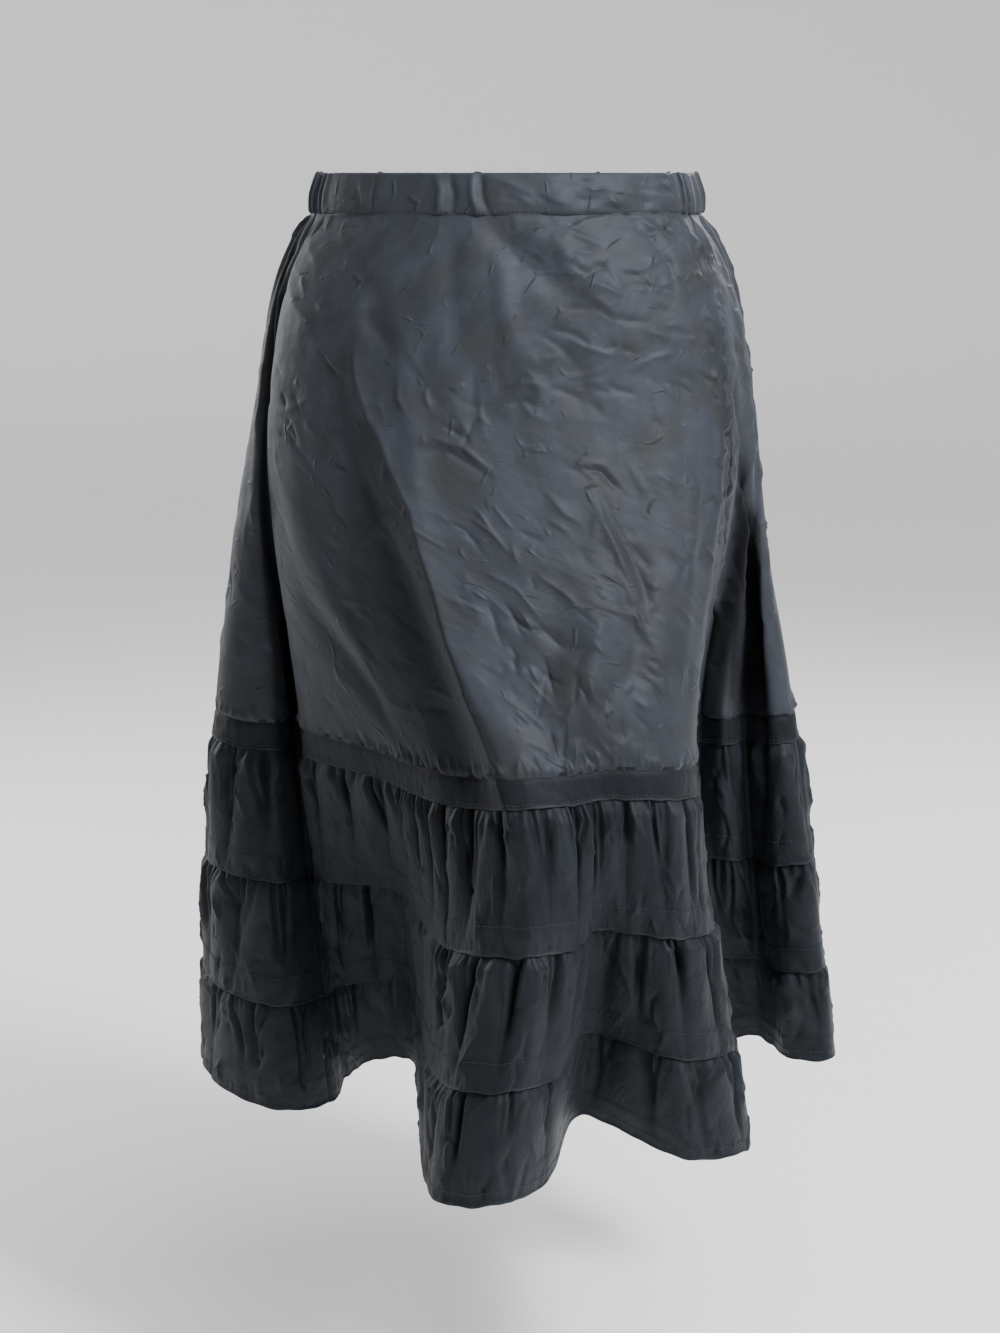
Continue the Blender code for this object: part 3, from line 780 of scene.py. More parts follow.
# %% Creases in the front panel
PANEL_CREASES = crease_table(
    # Furrows, dips and ridges that run down from the waist.
    (((30.5, 0.0), (31.7, 2.2), (32.8, 4.5), (33.6, 6.7), (33.9, 8.6)), 14, -5.0),
    (((32.2, 0.8), (33.4, 2.8), (34.5, 6.9), (35.2, 9.6)), 14, 4.4),
    (((20.5, 1.8), (24.7, 4.5), (26.7, 7.1), (28.0, 9.6)), 10, -3.8),
    (((17.0, 1.0), (22.3, 2.6), (26.5, 5.9), (27.4, 8.1)), 8, 3.0),
    (((26.2, 8.3), (27.2, 10.8), (28.0, 12.2)), 9, -2.6),
    (((29.1, 0.2), (29.5, 5.5), (30.0, 13.2)), 12, -2.8),
    (((30.6, 10.0), (30.9, 15.1), (31.4, 19.5)), 14, -2.6),
    (((31.5, 3.7), (31.7, 7.5), (32.1, 11.4), (32.5, 14.7)), 11, 3.0),
    (((33.2, 11.0), (33.8, 14.3), (33.9, 17.9)), 16, -3.6),
    # Streaks low in the panel.
    (((33.5, 32.6), (32.9, 37.9), (32.0, 43.8)), 12, 4.0),
    (((32.5, 30.1), (31.5, 36.9), (28.7, 43.4)), 14, -3.6),
    (((35.0, 30.3), (34.7, 37.1), (33.8, 43.8)), 14, -3.8),
    # Broad folds: left of the crest, along it, and beside the front's right edge.
    (((12.8, 33.0), (13.8, 38.1), (15.9, 42.6), (17.5, 46.0)), 15, -4.6),
    (((14.5, 20.4), (13.9, 29.3), (14.7, 35.2), (17.1, 39.5)), 18, 3.2),
    (((26.8, 3.3), (27.8, 10.2), (28.3, 18.7), (27.4, 29.7)), 12, 3.0),
    (((37.6, 3.0), (37.4, 10.6), (37.2, 21.2), (37.1, 30.5), (36.9, 40.0)), 13, 3.4),
    (((38.9, 5.0), (38.7, 13.0), (38.5, 21.2), (38.4, 30.5), (38.2, 40.0)), 14, -4.5),
    (((34.9, 14.0), (35.0, 22.0), (35.0, 30.0), (34.6, 38.0)), 22, -4.0),
    # The arc and the long diagonal that show best, with their hollows and spurs.
    (((33.5, 21.8), (34.1, 22.0), (34.7, 24.2)), 5, -2.4),
    (((33.5, 21.4), (34.2, 21.6), (34.8, 24.0)), 3.5, 1.4),
    (((33.8, 24.0), (34.0, 26.7), (34.4, 30.1), (35.1, 35.0), (35.3, 36.2)), 5.8, 2.6),
    (((34.0, 23.8), (34.3, 26.5), (34.8, 29.9), (35.5, 34.6)), 5, -2.0),
    (((34.2, 31.0), (34.6, 33.2), (34.8, 35.8), (35.3, 37.3)), 5, 2.2),
    (((34.8, 28.5), (35.4, 30.9)), 4, -1.4),
    # Short creases in the middle, one above the other.
    (((33.0, 9.8), (33.6, 10.2), (34.2, 11.6)), 4, -1.6),
    (((33.5, 10.6), (34.3, 12.0)), 3.5, 1.4),
    (((34.9, 11.6), (35.4, 12.2)), 3.5, -1.2),
    (((35.8, 10.4), (36.6, 11.2)), 3.5, 1.2),
    (((29.3, 18.1), (30.2, 19.1)), 3.5, -1.6),
    (((28.3, 19.7), (29.0, 19.3), (30.0, 20.0), (30.6, 21.2), (31.0, 22.0)), 4.5, 1.8),
    (((28.4, 20.6), (29.3, 20.2), (30.2, 21.4), (30.8, 22.4)), 4, -1.4),
    (((31.9, 15.3), (32.4, 14.3), (32.7, 14.7), (32.7, 15.9)), 4, 1.8),
    (((31.8, 16.1), (32.3, 15.9), (32.7, 16.3)), 4, -1.6),
    # The fan below the waist on the right.
    (((33.7, 6.1), (34.4, 4.9), (35.0, 4.5)), 4, -1.5),
    (((34.3, 5.9), (35.2, 7.3)), 4, 1.5),
    (((34.6, 4.3), (35.8, 5.1), (37.2, 3.9)), 4.5, 1.3),
    (((35.5, 6.3), (36.3, 6.5)), 3.5, -1.4),
    (((34.1, 7.7), (34.9, 9.2), (35.8, 9.6)), 4, -1.3),
    (((36.5, 0.2), (37.3, 1.4), (38.6, 1.8)), 4, 1.6),
    (((36.8, 2.6), (37.3, 4.7), (37.1, 7.1)), 4.5, -1.6),
    (((33.5, 0.8), (34.4, 2.2), (35.0, 2.9)), 4, 1.4),
    (((33.9, 3.3), (34.6, 3.3)), 4, -1.2),
    # Creases that the hip strains on the right.
    (((40.7, 0.8), (44.3, 2.8), (45.0, 5.7)), 4, 1.6),
    (((43.0, 1.6), (43.3, 4.1), (42.5, 6.9)), 4, -1.4),
    (((38.4, 5.5), (43.5, 7.1)), 4, 1.3),
    (((38.2, 9.0), (42.8, 10.6)), 4, 1.3),
    (((37.0, 10.4), (37.8, 12.6)), 4, -1.2),
    (((38.3, 11.6), (42.4, 12.8)), 4, -1.2),
    # Puckers at the lower seam.
    (((30.2, 43.8), (29.3, 46.0), (29.2, 48.0)), 3.5, -1.9),
    (((28.9, 44.2), (28.8, 46.6)), 3.5, -1.6),
    (((30.7, 45.6), (29.7, 48.0)), 3.5, 1.6),
    # Small creases, from the middle outwards.
    (((33.8, 34.2), (34.8, 34.8)), 3.5, 1.2),
    (((33.0, 34.0), (34.1, 35.0)), 3.5, -1.1),
    (((28.3, 32.2), (28.7, 33.0)), 3.5, 1.3),
    (((27.6, 32.8), (28.1, 33.2)), 3.5, -1.2),
    (((29.2, 38.7), (29.3, 40.3)), 3.5, 1.3),
    (((30.3, 37.9), (30.0, 41.1)), 3.5, -1.3),
    (((27.6, 42.4), (28.0, 43.6)), 3.5, 1.3),
    (((32.5, 41.3), (33.2, 42.2)), 3.5, -1.2),
    (((32.6, 23.8), (32.9, 25.7), (33.3, 26.5)), 4, 1.3),
    (((31.4, 27.3), (32.2, 28.1)), 3.5, -1.1),
    (((35.8, 22.6), (36.5, 24.0)), 3.5, 1.2),
    (((36.9, 26.9), (38.6, 27.1)), 4, 1.3),
    (((37.4, 30.5), (38.4, 29.9)), 4, -1.3),
    (((17.1, 42.4), (21.0, 42.8)), 5, 1.4),
    (((23.0, 40.7), (24.5, 41.3)), 5, 1.4),
    (((22.1, 42.2), (24.1, 42.6)), 5, -1.3),
    (((23.0, 28.7), (26.5, 25.3)), 4, 1.1),
    (((24.8, 31.0), (24.3, 34.0)), 5, -1.0),
    (((17.7, 8.1), (22.2, 9.4)), 5, 1.1),
    (((21.2, 12.4), (24.6, 14.7)), 5, -1.1),
    (((17.7, 18.5), (21.0, 20.0)), 5, 1.0),
    (((22.2, 22.2), (25.0, 22.4)), 4.5, -1.0),
)
print(len(PANEL_CREASES), "creases placed one by one")

# %% Creases in the back panel
BACK_CREASES = crease_table(
    # Falls from the seat to the lower seam, troughs and crests by turns.
    (((58.0, 3.0), (56.6, 16.0), (55.8, 30.0), (55.4, 45.0)), 22, -8.5),
    (((60.6, 5.0), (59.4, 18.0), (58.8, 32.0), (58.6, 46.0)), 20, 4.6, True),
    (((65.0, 9.0), (64.2, 22.0), (64.6, 34.0), (64.0, 46.0)), 24, -8.0),
    (((70.5, 4.0), (70.0, 15.0), (68.8, 28.0), (68.2, 44.0)), 20, 4.6, True),
    (((76.0, 6.0), (77.4, 18.0), (77.0, 32.0), (78.2, 46.0)), 24, -8.5),
    (((80.6, 3.0), (81.0, 14.0), (82.6, 27.0), (83.0, 45.0)), 20, 4.6, True),
    (((86.0, 10.0), (87.4, 22.0), (88.0, 35.0), (87.4, 46.0)), 24, -8.5),
    (((92.0, 5.0), (92.6, 18.0), (93.4, 32.0), (93.0, 46.0)), 20, 4.2, True),
    # Furrows and ridges under the elastic.
    (((72.0, 1.0), (73.5, 6.0), (74.2, 13.0)), 14, -2.8),
    (((69.5, 1.0), (70.4, 8.0), (71.0, 15.0)), 14, 2.4),
    (((62.0, 1.5), (61.0, 7.0), (58.5, 13.0)), 12, -2.4),
    (((84.0, 1.0), (84.5, 7.0), (86.5, 14.0)), 12, -2.4),
    # Creases from sitting.
    (((60.0, 17.5), (63.5, 19.0), (67.0, 18.0)), 5, -1.8),
    (((70.0, 19.5), (74.0, 20.8), (78.5, 19.6)), 5, 1.8),
    (((80.0, 22.0), (84.0, 23.2), (87.5, 22.4)), 5, -1.8),
    (((66.5, 27.0), (70.0, 29.5), (72.5, 33.0)), 5, 1.8),
    # Slanting creases and soft streaks.
    (((75.5, 25.0), (77.0, 31.0), (79.5, 37.0)), 4.5, 1.9),
    (((76.1, 25.0), (77.6, 31.0), (80.0, 36.4)), 4, -1.5),
    (((55.5, 24.0), (57.0, 30.0), (57.4, 36.0)), 4.5, 1.6),
    (((91.0, 20.0), (90.0, 27.0), (90.6, 33.0)), 4.5, -1.6),
    (((73.0, 33.0), (72.5, 39.0), (73.6, 45.0)), 14, 2.4),
    (((63.0, 32.0), (63.6, 38.0), (62.6, 45.0)), 14, -2.4),
    (((98.5, 18.0), (99.2, 28.0), (99.0, 40.0)), 12, 1.8),
    (((51.5, 20.0), (51.0, 30.0), (51.4, 42.0)), 12, 1.8),
)

# %% Short creases, strewn by seed: facets are broad and crisp
Strewn = namedtuple("Strewn", "seed count way down_cm lean_deg length_mm width_mm height_mm")
Tucks = namedtuple("Tucks", "seed way at_cm spacing_mm length_mm width_mm height_mm upwards")
FACETS = (
    Strewn(61, 46, (26.0, 40.0), (3, 46), (-60, 80), (18, 60), (7, 12), (0.9, 1.8)),
    Strewn(62, 26, (9.0, 26.0), (3, 46), (10, 80), (18, 60), (8, 14), (0.7, 1.4)),
    Strewn(63, 150, (40.0, 106.0), (3, 46), (-60, 80), (20, 70), (8, 15), (0.9, 2.0)),
)
STREWN = (
    Strewn(21, 44, (32.5, 38.0), (1, 16), (20, 110), (12, 48), (2.4, 4.0), (0.6, 1.5)),
    Strewn(22, 34, (26.5, 37.0), (15, 33), (-40, 70), (12, 44), (2.4, 3.8), (0.6, 1.3)),
    Strewn(23, 54, (27.5, 37.0), (30, 47), (-60, 70), (11, 42), (2.4, 3.8), (0.6, 1.4)),
    Strewn(24, 26, (8.5, 26.0), (2, 47), (30, 120), (14, 50), (2.8, 5.0), (0.5, 1.1)),
    Strewn(25, 60, (37.0, 46.5), (2, 44), (20, 100), (8, 30), (2.8, 4.5), (0.6, 1.7)),
    Strewn(26, 60, (47.5, 58.0), (2, 46), (-80, 80), (9, 34), (3.0, 5.0), (0.6, 1.7)),
    Strewn(27, 130, (58.0, 92.0), (2, 46), (-80, 80), (9, 36), (3.0, 5.0), (0.6, 1.8)),
    Strewn(28, 40, (92.0, 107.0), (2, 46), (-60, 80), (9, 34), (3.0, 5.0), (0.6, 1.5)),
)
PANEL_TUCKS = (
    Tucks(31, (6.0, 106.0), 47.9, (5, 11), (5, 20), (2.4, 3.4), (0.8, 1.9), True),
    Tucks(32, (43.0, 106.0), 0.1, (8, 18), (12, 50), (3.2, 6.0), (0.8, 2.4), False),
    Tucks(34, (6.0, 14.0), 0.1, (8, 16), (8, 26), (3.0, 4.6), (0.8, 1.8), False),
    Tucks(33, (18.0, 40.0), 0.1, (16, 34), (6, 22), (2.8, 4.0), (0.3, 0.8), False),
)
panel_creases = PANEL_CREASES + BACK_CREASES
for row in STREWN:
    panel_creases += scattered(*row)
for row in FACETS:
    for crease in scattered(*row):
        panel_creases.append(crease._replace(crisp=True, height_mm=crease.height_mm / CRISP_LIFT))
for row in PANEL_TUCKS:
    panel_creases += tucks(*row)

# %% Puckers along the right side seam
SEAM_WAYS = (45.0, 44.2, 43.8, 43.4, 42.6, 42.6, 45.8, 48.4)
SEAM_DOWN_CM = (3.0, 7.0, 11.0, 15.5, 20.0, 24.0, 31.6, 36.4)
FORWARD_SHARE = 0.6


def seam_puckers(seed):
    """Short creases that start on the right side seam, more of them ahead of it than behind."""
    rng = np.random.default_rng(seed)
    made = []
    place = SEAM_DOWN_CM[0]
    while place < SEAM_DOWN_CM[-1]:
        way = np.interp(place, SEAM_DOWN_CM, SEAM_WAYS)
        ahead = -1 if rng.random() < FORWARD_SHARE else 1
        run = ahead * rng.uniform(0.5, 1.9)
        drop = rng.uniform(-0.5, 1.0)
        height = rng.uniform(1.0, 2.2) * (1 if rng.random() < 0.5 else -1)
        line = ((way, place), (way + 0.6 * run, place + 0.3 * drop), (way + run, place + drop))
        made.append(Crease(line, rng.uniform(2.8, 4.2), height))
        place += rng.uniform(0.5, 1.3)
    return made


panel_creases += seam_puckers(35)
print(len(panel_creases), "creases in the panels")

# %% [markdown]
# ## Cutting the panels
# The side seams run where the solids part, but on the right the seam leans forward at the hip, where the
# pocket is let into it. So the shares at the panel's edge drift a little with the length down the cloth.

# %% Sizes of the panels, in metres
WAIST_FOLD = 0.0042
WAIST_FOLDS_FROM = 12.0
WAIST_FOLD_PINCH = 0.15
WAIST_FOLD_START = 0.018
WAIST_FOLD_REACH = 0.17
WAIST_FOLD_FADE = 1.5
ELASTIC_FROM = 58.0
ELASTIC_EASE = 8.0
LAP = 0.0012
TUCK = 0.003
SEAM_DRIFT = (
    (0.0, -0.020), (0.03, -0.033), (0.07, -0.044), (0.16, -0.052), (0.21, -0.056),
    (0.25, -0.052), (0.30, -0.034), (0.34, -0.014), (0.38, 0.0),
)
CLOSER = 0.045  # how far the front's columns are drawn towards its middle
PANEL_COLUMNS = {"front": 412, "back": 420}
PANEL_ROWS = {"front": 226, "back": 155}
LEAST_ROOM = 0.2
ROUND_M = 1.3
SEAM_GROOVE = 0.0022
SEAM_GROOVE_HALF = 0.0024
# Painted shade along the seam groove.
SEAM_SHADE = 0.95
SEAM_SHADE_HALF = 0.0016
POCKET = (0.052, 0.195)
POCKET_ROUND_M = 1.1
POCKET_END = 0.02
POCKET_LIP = (0.0022, 0.005, 0.004)  # height, distance from the seam, half width
POCKET_GROOVE = (0.0010, 0.002)  # depth, half width
POCKET_MOUTH = (0.0040, 0.008)  # depth, half width
# Painted shade inside the pocket mouth, strongest on the back panel.
POCKET_SHADE = {"front": 0.5, "back": 1.0}
POCKET_SHADE_HALF = 0.003
SEWN_PULL = 0.001
SEWN_HOLLOW = (1.4, 0.0022)  # share of the pull, half width
SEWN_SWELL = (0.45, 0.005, 0.003)  # share of the pull, distance above the seam, half width


# %% Rows, elastic and waist folds
def rows_down(start, end, count):
    """Lengths down the cloth for a sheet: a tuck under the piece above, and finer rows by both edges."""
    top = start + np.array([-TUCK, 0.0, 0.0008, 0.0018])
    middle = np.linspace(start + 0.003, end - 0.003, count)
    return np.concatenate([top, middle, end - np.array([0.0018, 0.0008, 0.0])])


def elastic_share(share, further=0.0):
    """1 where the waistband holds elastic, 0 along its plain front, from so many degrees further round."""
    bearing = np.interp(share, thrice(SHARES), thrice(WAIST_BEARINGS, 360))
    from_front = np.abs((bearing + 180) % 360 - 180)
    return unit((from_front - ELASTIC_FROM - further) / ELASTIC_EASE)


def waist_folds(share, down):
    """Soft folds that run down from the elastic, between the lines, all round but the front."""
    order = crest_phase(share, SHARES)
    ripple = -np.cos(2 * math.pi * order) * elastic_share(share, WAIST_FOLDS_FROM)
    pinch = WAIST_FOLD_PINCH + (1 - WAIST_FOLD_PINCH) * unit(down / WAIST_FOLD_START)
    fade = unit(1 - down / WAIST_FOLD_REACH) ** WAIST_FOLD_FADE
    return WAIST_FOLD * (pinch * fade)[:, None] * ripple


def drift(down):
    """How far the right side seam leans forward, as a share of the way round."""
    return np.interp(down, *zip(*SEAM_DRIFT))


# %% The panels
def part_across(columns):
    """How far each column lies from a sheet's first seam to its second, from 0 to 1."""
    return (columns - columns[SPARE]) / (columns[-1 - SPARE] - columns[SPARE])


def panel_sheet(side):
    """The front or back panel, with its waist folds, creases, seam grooves and pocket."""
    front = side == "front"
    down = rows_down(0.0, PANEL_END, PANEL_ROWS[side])
    columns = half_columns(side, PANEL_COLUMNS[side])
    part = part_across(columns)
    if front:
        span = columns[-1 - SPARE] - columns[SPARE]
        columns = columns + CLOSER * np.sin(2 * math.pi * part) * span
        part = part_across(columns)
    to_right = part if front else 1 - part
    share = columns + drift(down)[:, None] * to_right
    relief = waist_folds(share, down) * room(share, down) * off_seam(share)
    for crease in panel_creases:
        press(relief, share, down, crease)
    relief *= LEAST_ROOM + (1 - LEAST_ROOM) * room(share, down)
    relief += form_relief(share, down)

    span = columns[-1] - columns[0]
    from_seam = np.minimum(part, 1 - part) * span * ROUND_M
    relief -= SEAM_GROOVE * bell(from_seam, SEAM_GROOVE_HALF)
    from_pocket = np.abs(1 - to_right) * span * POCKET_ROUND_M
    opened = unit(np.minimum(down - POCKET[0], POCKET[1] - down) / POCKET_END)[:, None]
    if front:
        height, middle, half = POCKET_LIP
        lip = height * bell(from_pocket - middle, half)
        relief += opened * (lip - POCKET_GROOVE[0] * bell(from_pocket, POCKET_GROOVE[1]))
    else:
        relief -= opened * POCKET_MOUTH[0] * bell(from_pocket, POCKET_MOUTH[1])
    up = PANEL_END - down
    sewn = SEWN_HOLLOW[0] * bell(up, SEWN_HOLLOW[1])
    sewn -= SEWN_SWELL[0] * bell(up - SEWN_SWELL[1], SEWN_SWELL[2])
    relief -= SEWN_PULL * sewn[:, None]
    relief -= LAP * unit(1 - down / WAIST_FOLD_START)[:, None]

    points = trimmed(lay(share, down, relief))
    across = flat_across(plain_points(share, down))
    flat_map = trimmed(np.stack([across, by_row(down, len(columns))], axis=-1))
    # Painted shade: in hollows and folds, along the seam groove and inside the pocket.
    dark = np.maximum(hollow_shade(share, down), fold_shade(share, down))
    pocket_shade = opened * POCKET_SHADE[side] * bell(from_pocket, POCKET_SHADE_HALF)
    dark += SEAM_SHADE * bell(from_seam, SEAM_SHADE_HALF) + pocket_shade
    dark = trimmed(unit(dark))
    sheet_object(f"panel_cloth_{side}", points, flat_map, np.zeros(dark.shape), dark)


for side in SIDES:
    panel_sheet(side)

# %% [markdown]
# ## The waistband
# The waistband is a casing: cloth folded over at the top, with elastic inside at the sides and back. Its
# section goes up the inside, over the top and down the outside, and the elastic draws it into ruches.

# %% Sizes and creases of the waistband
WAIST_TAPER = 0.0075
WAISTBAND_BULGE = 0.0014
STITCHED_IN = 0.0016
WAIST_GATHERS = 34
WAIST_RIPPLE = 0.0024
WAIST_SEED = 11
CASING = 0.0030
FINE_RUCHES = 2.0
FINE_RUCHE = 0.0034
WAIST_COLUMNS = {"front": 320, "back": 460}
INSIDE_ROWS = 8
OUTSIDE_ROWS = 20
# Painted highlight along the casing's folded top.
CASING_TOP_HIGHLIGHT = 0.25
# Painted shade in the valleys of the ruches.
RUCHE_SHADE = 0.85
RUCHE_SHADE_DEPTH = 0.003
RUCHE_SCALLOP = 0.45
ELASTIC_DROP = 0.0012
WAIST_CREASES = crease_table(
    # Two tucks left of the middle, each a ridge with a furrow beside it.
    (((28.3, -3.8), (28.6, -2.0), (28.5, 0.4)), 4.5, 2.2),
    (((28.9, -3.8), (29.2, -1.8), (29.1, 0.4)), 5.0, -2.0),
    (((30.1, -3.8), (30.2, -1.5), (30.6, 0.4)), 4.0, 2.2),
    (((30.6, -3.8), (30.7, -1.5), (31.2, 0.4)), 4.5, -2.0),
    # Broad dips, with a swell between them.
    (((26.0, -3.8), (26.3, -1.8), (26.1, 0.4)), 12.0, -1.6),
    (((33.0, -3.8), (33.4, -1.8), (34.2, 0.4)), 14.0, 1.6),
    (((36.6, -3.8), (37.0, -1.8), (36.6, 0.4)), 9.0, -1.8),
    # Short slanting creases.
    (((31.0, -3.4), (32.0, -2.6), (33.4, -1.2)), 5.0, 0.9),
    (((33.2, -3.2), (35.0, -2.3), (36.4, -1.9)), 4.0, 0.8),
    (((24.0, -3.4), (23.4, -1.6), (23.6, -0.2)), 5.0, -0.9),
    (((20.0, -3.0), (21.4, -1.8), (22.0, -0.4)), 4.0, 0.7),
)
WAIST_STREWN = Strewn(41, 26, (31.5, 40.5), (-3.3, -0.3), (35, 115), (7, 24), (2.6, 4.2), (0.6, 1.6))
waist_creases = WAIST_CREASES + scattered(*WAIST_STREWN)


# %% The waistband
def uneven(count, seed, spread):
    """Evenly spaced shares, each moved by up to that part of a space."""
    moved = np.random.default_rng(seed).uniform(-spread, spread, count)
    return (np.arange(count) + moved) / count


def waistband_sheet(side):
    """The front or back of the casing, from the inside's lower edge over the top to the outside's."""
    columns = half_columns(side, WAIST_COLUMNS[side])
    top = WAISTBAND_DEPTH / 2
    inside = np.linspace(-top + 0.001, top - 0.0012, INSIDE_ROWS)
    over = [top - 0.0003, top, top - 0.0003]
    outside = np.linspace(top - 0.0012, -top + 0.0006, OUTSIDE_ROWS)
    height = np.concatenate([inside, over, outside, [-top + 0.0003]])
    layer = np.concatenate([np.ones(INSIDE_ROWS), [0.8, 0.5, 0.2], np.zeros(OUTSIDE_ROWS), [0.3]])
    phase = crest_phase(columns, uneven(WAIST_GATHERS, WAIST_SEED, 0.22))
    fine = 2 * np.abs(np.cos(math.pi * (phase * FINE_RUCHES + 0.6 * np.sin(2.1 * phase)))) ** 0.8 - 1
    elastic = elastic_share(columns)
    ruche = (WAIST_RIPPLE * np.cos(2 * math.pi * phase) + FINE_RUCHE * fine) * elastic
    up = 0.5 + height / WAISTBAND_DEPTH
    lift = WAISTBAND_BULGE * 4 * up * (1 - up) - WAIST_TAPER * up - STITCHED_IN * np.exp(-up / 0.07)
    share = np.tile(columns, (len(height), 1))
    creased = pressed(waist_creases, share, -(height + top))
    level = np.zeros(len(height))
    flat = plan(share, level)
    rise = lift[:, None] + ruche * (1 - 0.35 * np.abs(2 * up - 1))[:, None] + creased
    rise -= CASING * layer[:, None]
    laid = flat + level_outward(share, level) * rise[..., None]
    points = np.concatenate([laid, by_row(height, len(columns))[..., None]], axis=-1)
    points[..., 2] += (RUCHE_SCALLOP * ruche - ELASTIC_DROP * elastic) * unit(2 * up - 1)[:, None]
    points = trimmed(points)
    passed = np.cumsum(np.abs(np.diff(height, prepend=height[0])))
    flat_map = trimmed(np.stack([flat_across(flat), by_row(passed, len(columns))], axis=-1))
    # Painted highlight along the folded top of the casing.
    pale = np.zeros(points.shape[:2])
    pale[INSIDE_ROWS : INSIDE_ROWS + len(over)] = CASING_TOP_HIGHLIGHT
    # Painted shade in the valleys of the ruches.
    dark = RUCHE_SHADE * elastic * unit(-ruche / RUCHE_SHADE_DEPTH)
    dark = trimmed(np.tile(dark, (len(height), 1)))
    sheet_object(f"waistband_cloth_{side}", points, flat_map, pale, dark)


for side in SIDES:
    waistband_sheet(side)

# %% [markdown]
# ## The flat band
# A plain strip joins the panels to the first tier. It lies flat, and its lower edge is turned and stands
# out as a thin rib that catches the light, with a painted highlight along it.

# %% Sizes of the flat band and of the turned edges
BAND_COLUMNS = {"front": 420, "back": 640}
BAND_ROWS = 9
BAND_SUNK = 0.0014
BAND_SUNK_HALF = 0.0022
RIB = 0.0008
CLOTH = 0.0012
# Painted shade in narrow slits and, weaker, in hollows.
DIP_DEPTH = 0.0040
DIP_SHADE = 0.75
DIP_REACH = 9
STRIP_HOLLOW_SHADE = 0.30
RIB_HALF = 0.0012
# Painted highlight along the rib and the turned rim.
RIB_HIGHLIGHT = 0.5
RIB_HIGHLIGHT_HALF = 0.0009
RIM_HIGHLIGHT = 0.4


# %% A strip with a turned edge
def dips(relief):
    """1 down in a narrow slit of the relief, 0 where it lies no lower than its neighbours."""
    window = 2 * DIP_REACH + 1
    padded = np.pad(relief, ((0, 0), (DIP_REACH, DIP_REACH)), mode="edge")
    steps = np.cumsum(np.pad(padded, ((0, 0), (1, 0))), axis=1)
    mean = (steps[:, window:] - steps[:, :-window]) / window
    return unit((mean - relief) / DIP_DEPTH)


def strip_sheet(name, side, count, down, relief_at, rows_up, gathered=1.0):
    """A sheet with its lower edge turned under: relief_at gives its relief at shares and lengths."""
    columns = half_columns(side, count)
    share = np.tile(columns, (len(down), 1))
    from_edge = down[-1] - down
    relief = relief_at(share, down) + RIB * bell(from_edge, RIB_HALF)[:, None]
    plain = plain_points(share, down)
    points = plain + surface_normals(plain) * relief[..., None]
    rim = turned_under(points, surface_normals(points), CLOTH, rows_up)
    points = trimmed(np.concatenate([points, rim]))
    lengths = np.concatenate([down, down[-1] + 0.001 * np.arange(1, len(rim) + 1)])
    across = flat_across(plain) * gathered
    across = trimmed(np.concatenate([across, np.tile(across[-1], (len(rim), 1))]))
    flat_map = np.stack([across, by_row(lengths, count)], axis=-1)
    # Painted shade in hollows, folds and narrow slits.
    dark = np.zeros((len(lengths), len(columns)))
    folds = np.maximum(STRIP_HOLLOW_SHADE * hollow_shade(share, down), fold_shade(share, down))
    dark[: len(down)] = unit(folds + DIP_SHADE * dips(relief))
    # Painted highlight along the rib and the turned rim, made uneven along the edge.
    turns = columns[SPARE:-SPARE]
    highlight_variation = 0.5 + 0.5 * np.sin(37.0 * turns * math.tau) * np.sin(11.0 * turns * math.tau + 1.0)
    pale = np.zeros((len(lengths), count))
    pale[: len(down)] = RIB_HIGHLIGHT * bell(from_edge, RIB_HIGHLIGHT_HALF)[:, None] * highlight_variation
    pale[len(down) : len(down) + 2] = RIM_HIGHLIGHT * highlight_variation
    sheet_object(name, points, flat_map, pale, trimmed(dark))


# %% The flat band
BAND_TUCKS = (
    Tucks(51, (6.0, 106.0), 48.2, (8, 22), (4, 14), (2.6, 4.0), (0.2, 0.6), False),
    Tucks(52, (6.0, 106.0), 50.4, (7, 18), (4, 13), (2.6, 4.0), (0.2, 0.6), True),
)
band_creases = [crease for row in BAND_TUCKS for crease in tucks(*row)]


def band_relief(share, down):
    """The flat band's relief: sunk into the seam above, with faint puckers."""
    relief = pressed(band_creases, share, down) + form_relief(share, down)
    return relief - BAND_SUNK * bell(down - PANEL_END, BAND_SUNK_HALF)[:, None]


band_down = rows_down(PANEL_END, BAND_END, BAND_ROWS)
for side in SIDES:
    strip_sheet(f"flat_band_cloth_{side}", side, BAND_COLUMNS[side], band_down, band_relief, 4)

# %% [markdown]
# ## The gathered tiers
# Each tier is a long strip drawn up on a thread. At the seam the gathers are close and small. Further down
# they merge into broader folds with rounded tops and narrow, deep valleys between them. So the relief is a
# broad wave with sharp valleys, and finer slits that start at the seam and lean towards those valleys.

# %% Sizes of the gathers
FRONT_GATHERS = 22
BACK_GATHERS = 26
COLUMNS_PER_GATHER = 3
GATHER_UNEVENNESS = 0.22
GATHER_HEIGHT = 0.0046
GATHER_PINCH = 0.20
GATHER_FADE = 0.92
TIER_RISE = 0.10
TIER_PUFF = 0.0016
TIER_PUFF_FADE = 0.93
TIER_PUFF_CURVE = 1.3
COLUMN_SEED = 50
HEIGHT_SEED = 40
HEIGHT_RANGE = (0.30, 1.40)
STRIP_DEPTH = 0.025
TUCKED_IN = -0.0004
STRIP_STEP = 0.0007
STRIP_STEP_EDGE = 0.0012
SEAM_SUNK = 0.0008
SEAM_SUNK_REACH = 0.0016
TIER_LEAST_ROOM = 0.35
GATHERED = 1.25
TIER_COLUMNS = {"front": 620, "back": 820}
TIER_ROWS = (44, 42, 36)
TIER_STARTS = (BAND_END, BAND_END + TIER_LENGTHS[0], BAND_END + TIER_LENGTHS[0] + TIER_LENGTHS[1])
SLIT_SPACING = (0.0105, 0.0115, 0.0120)
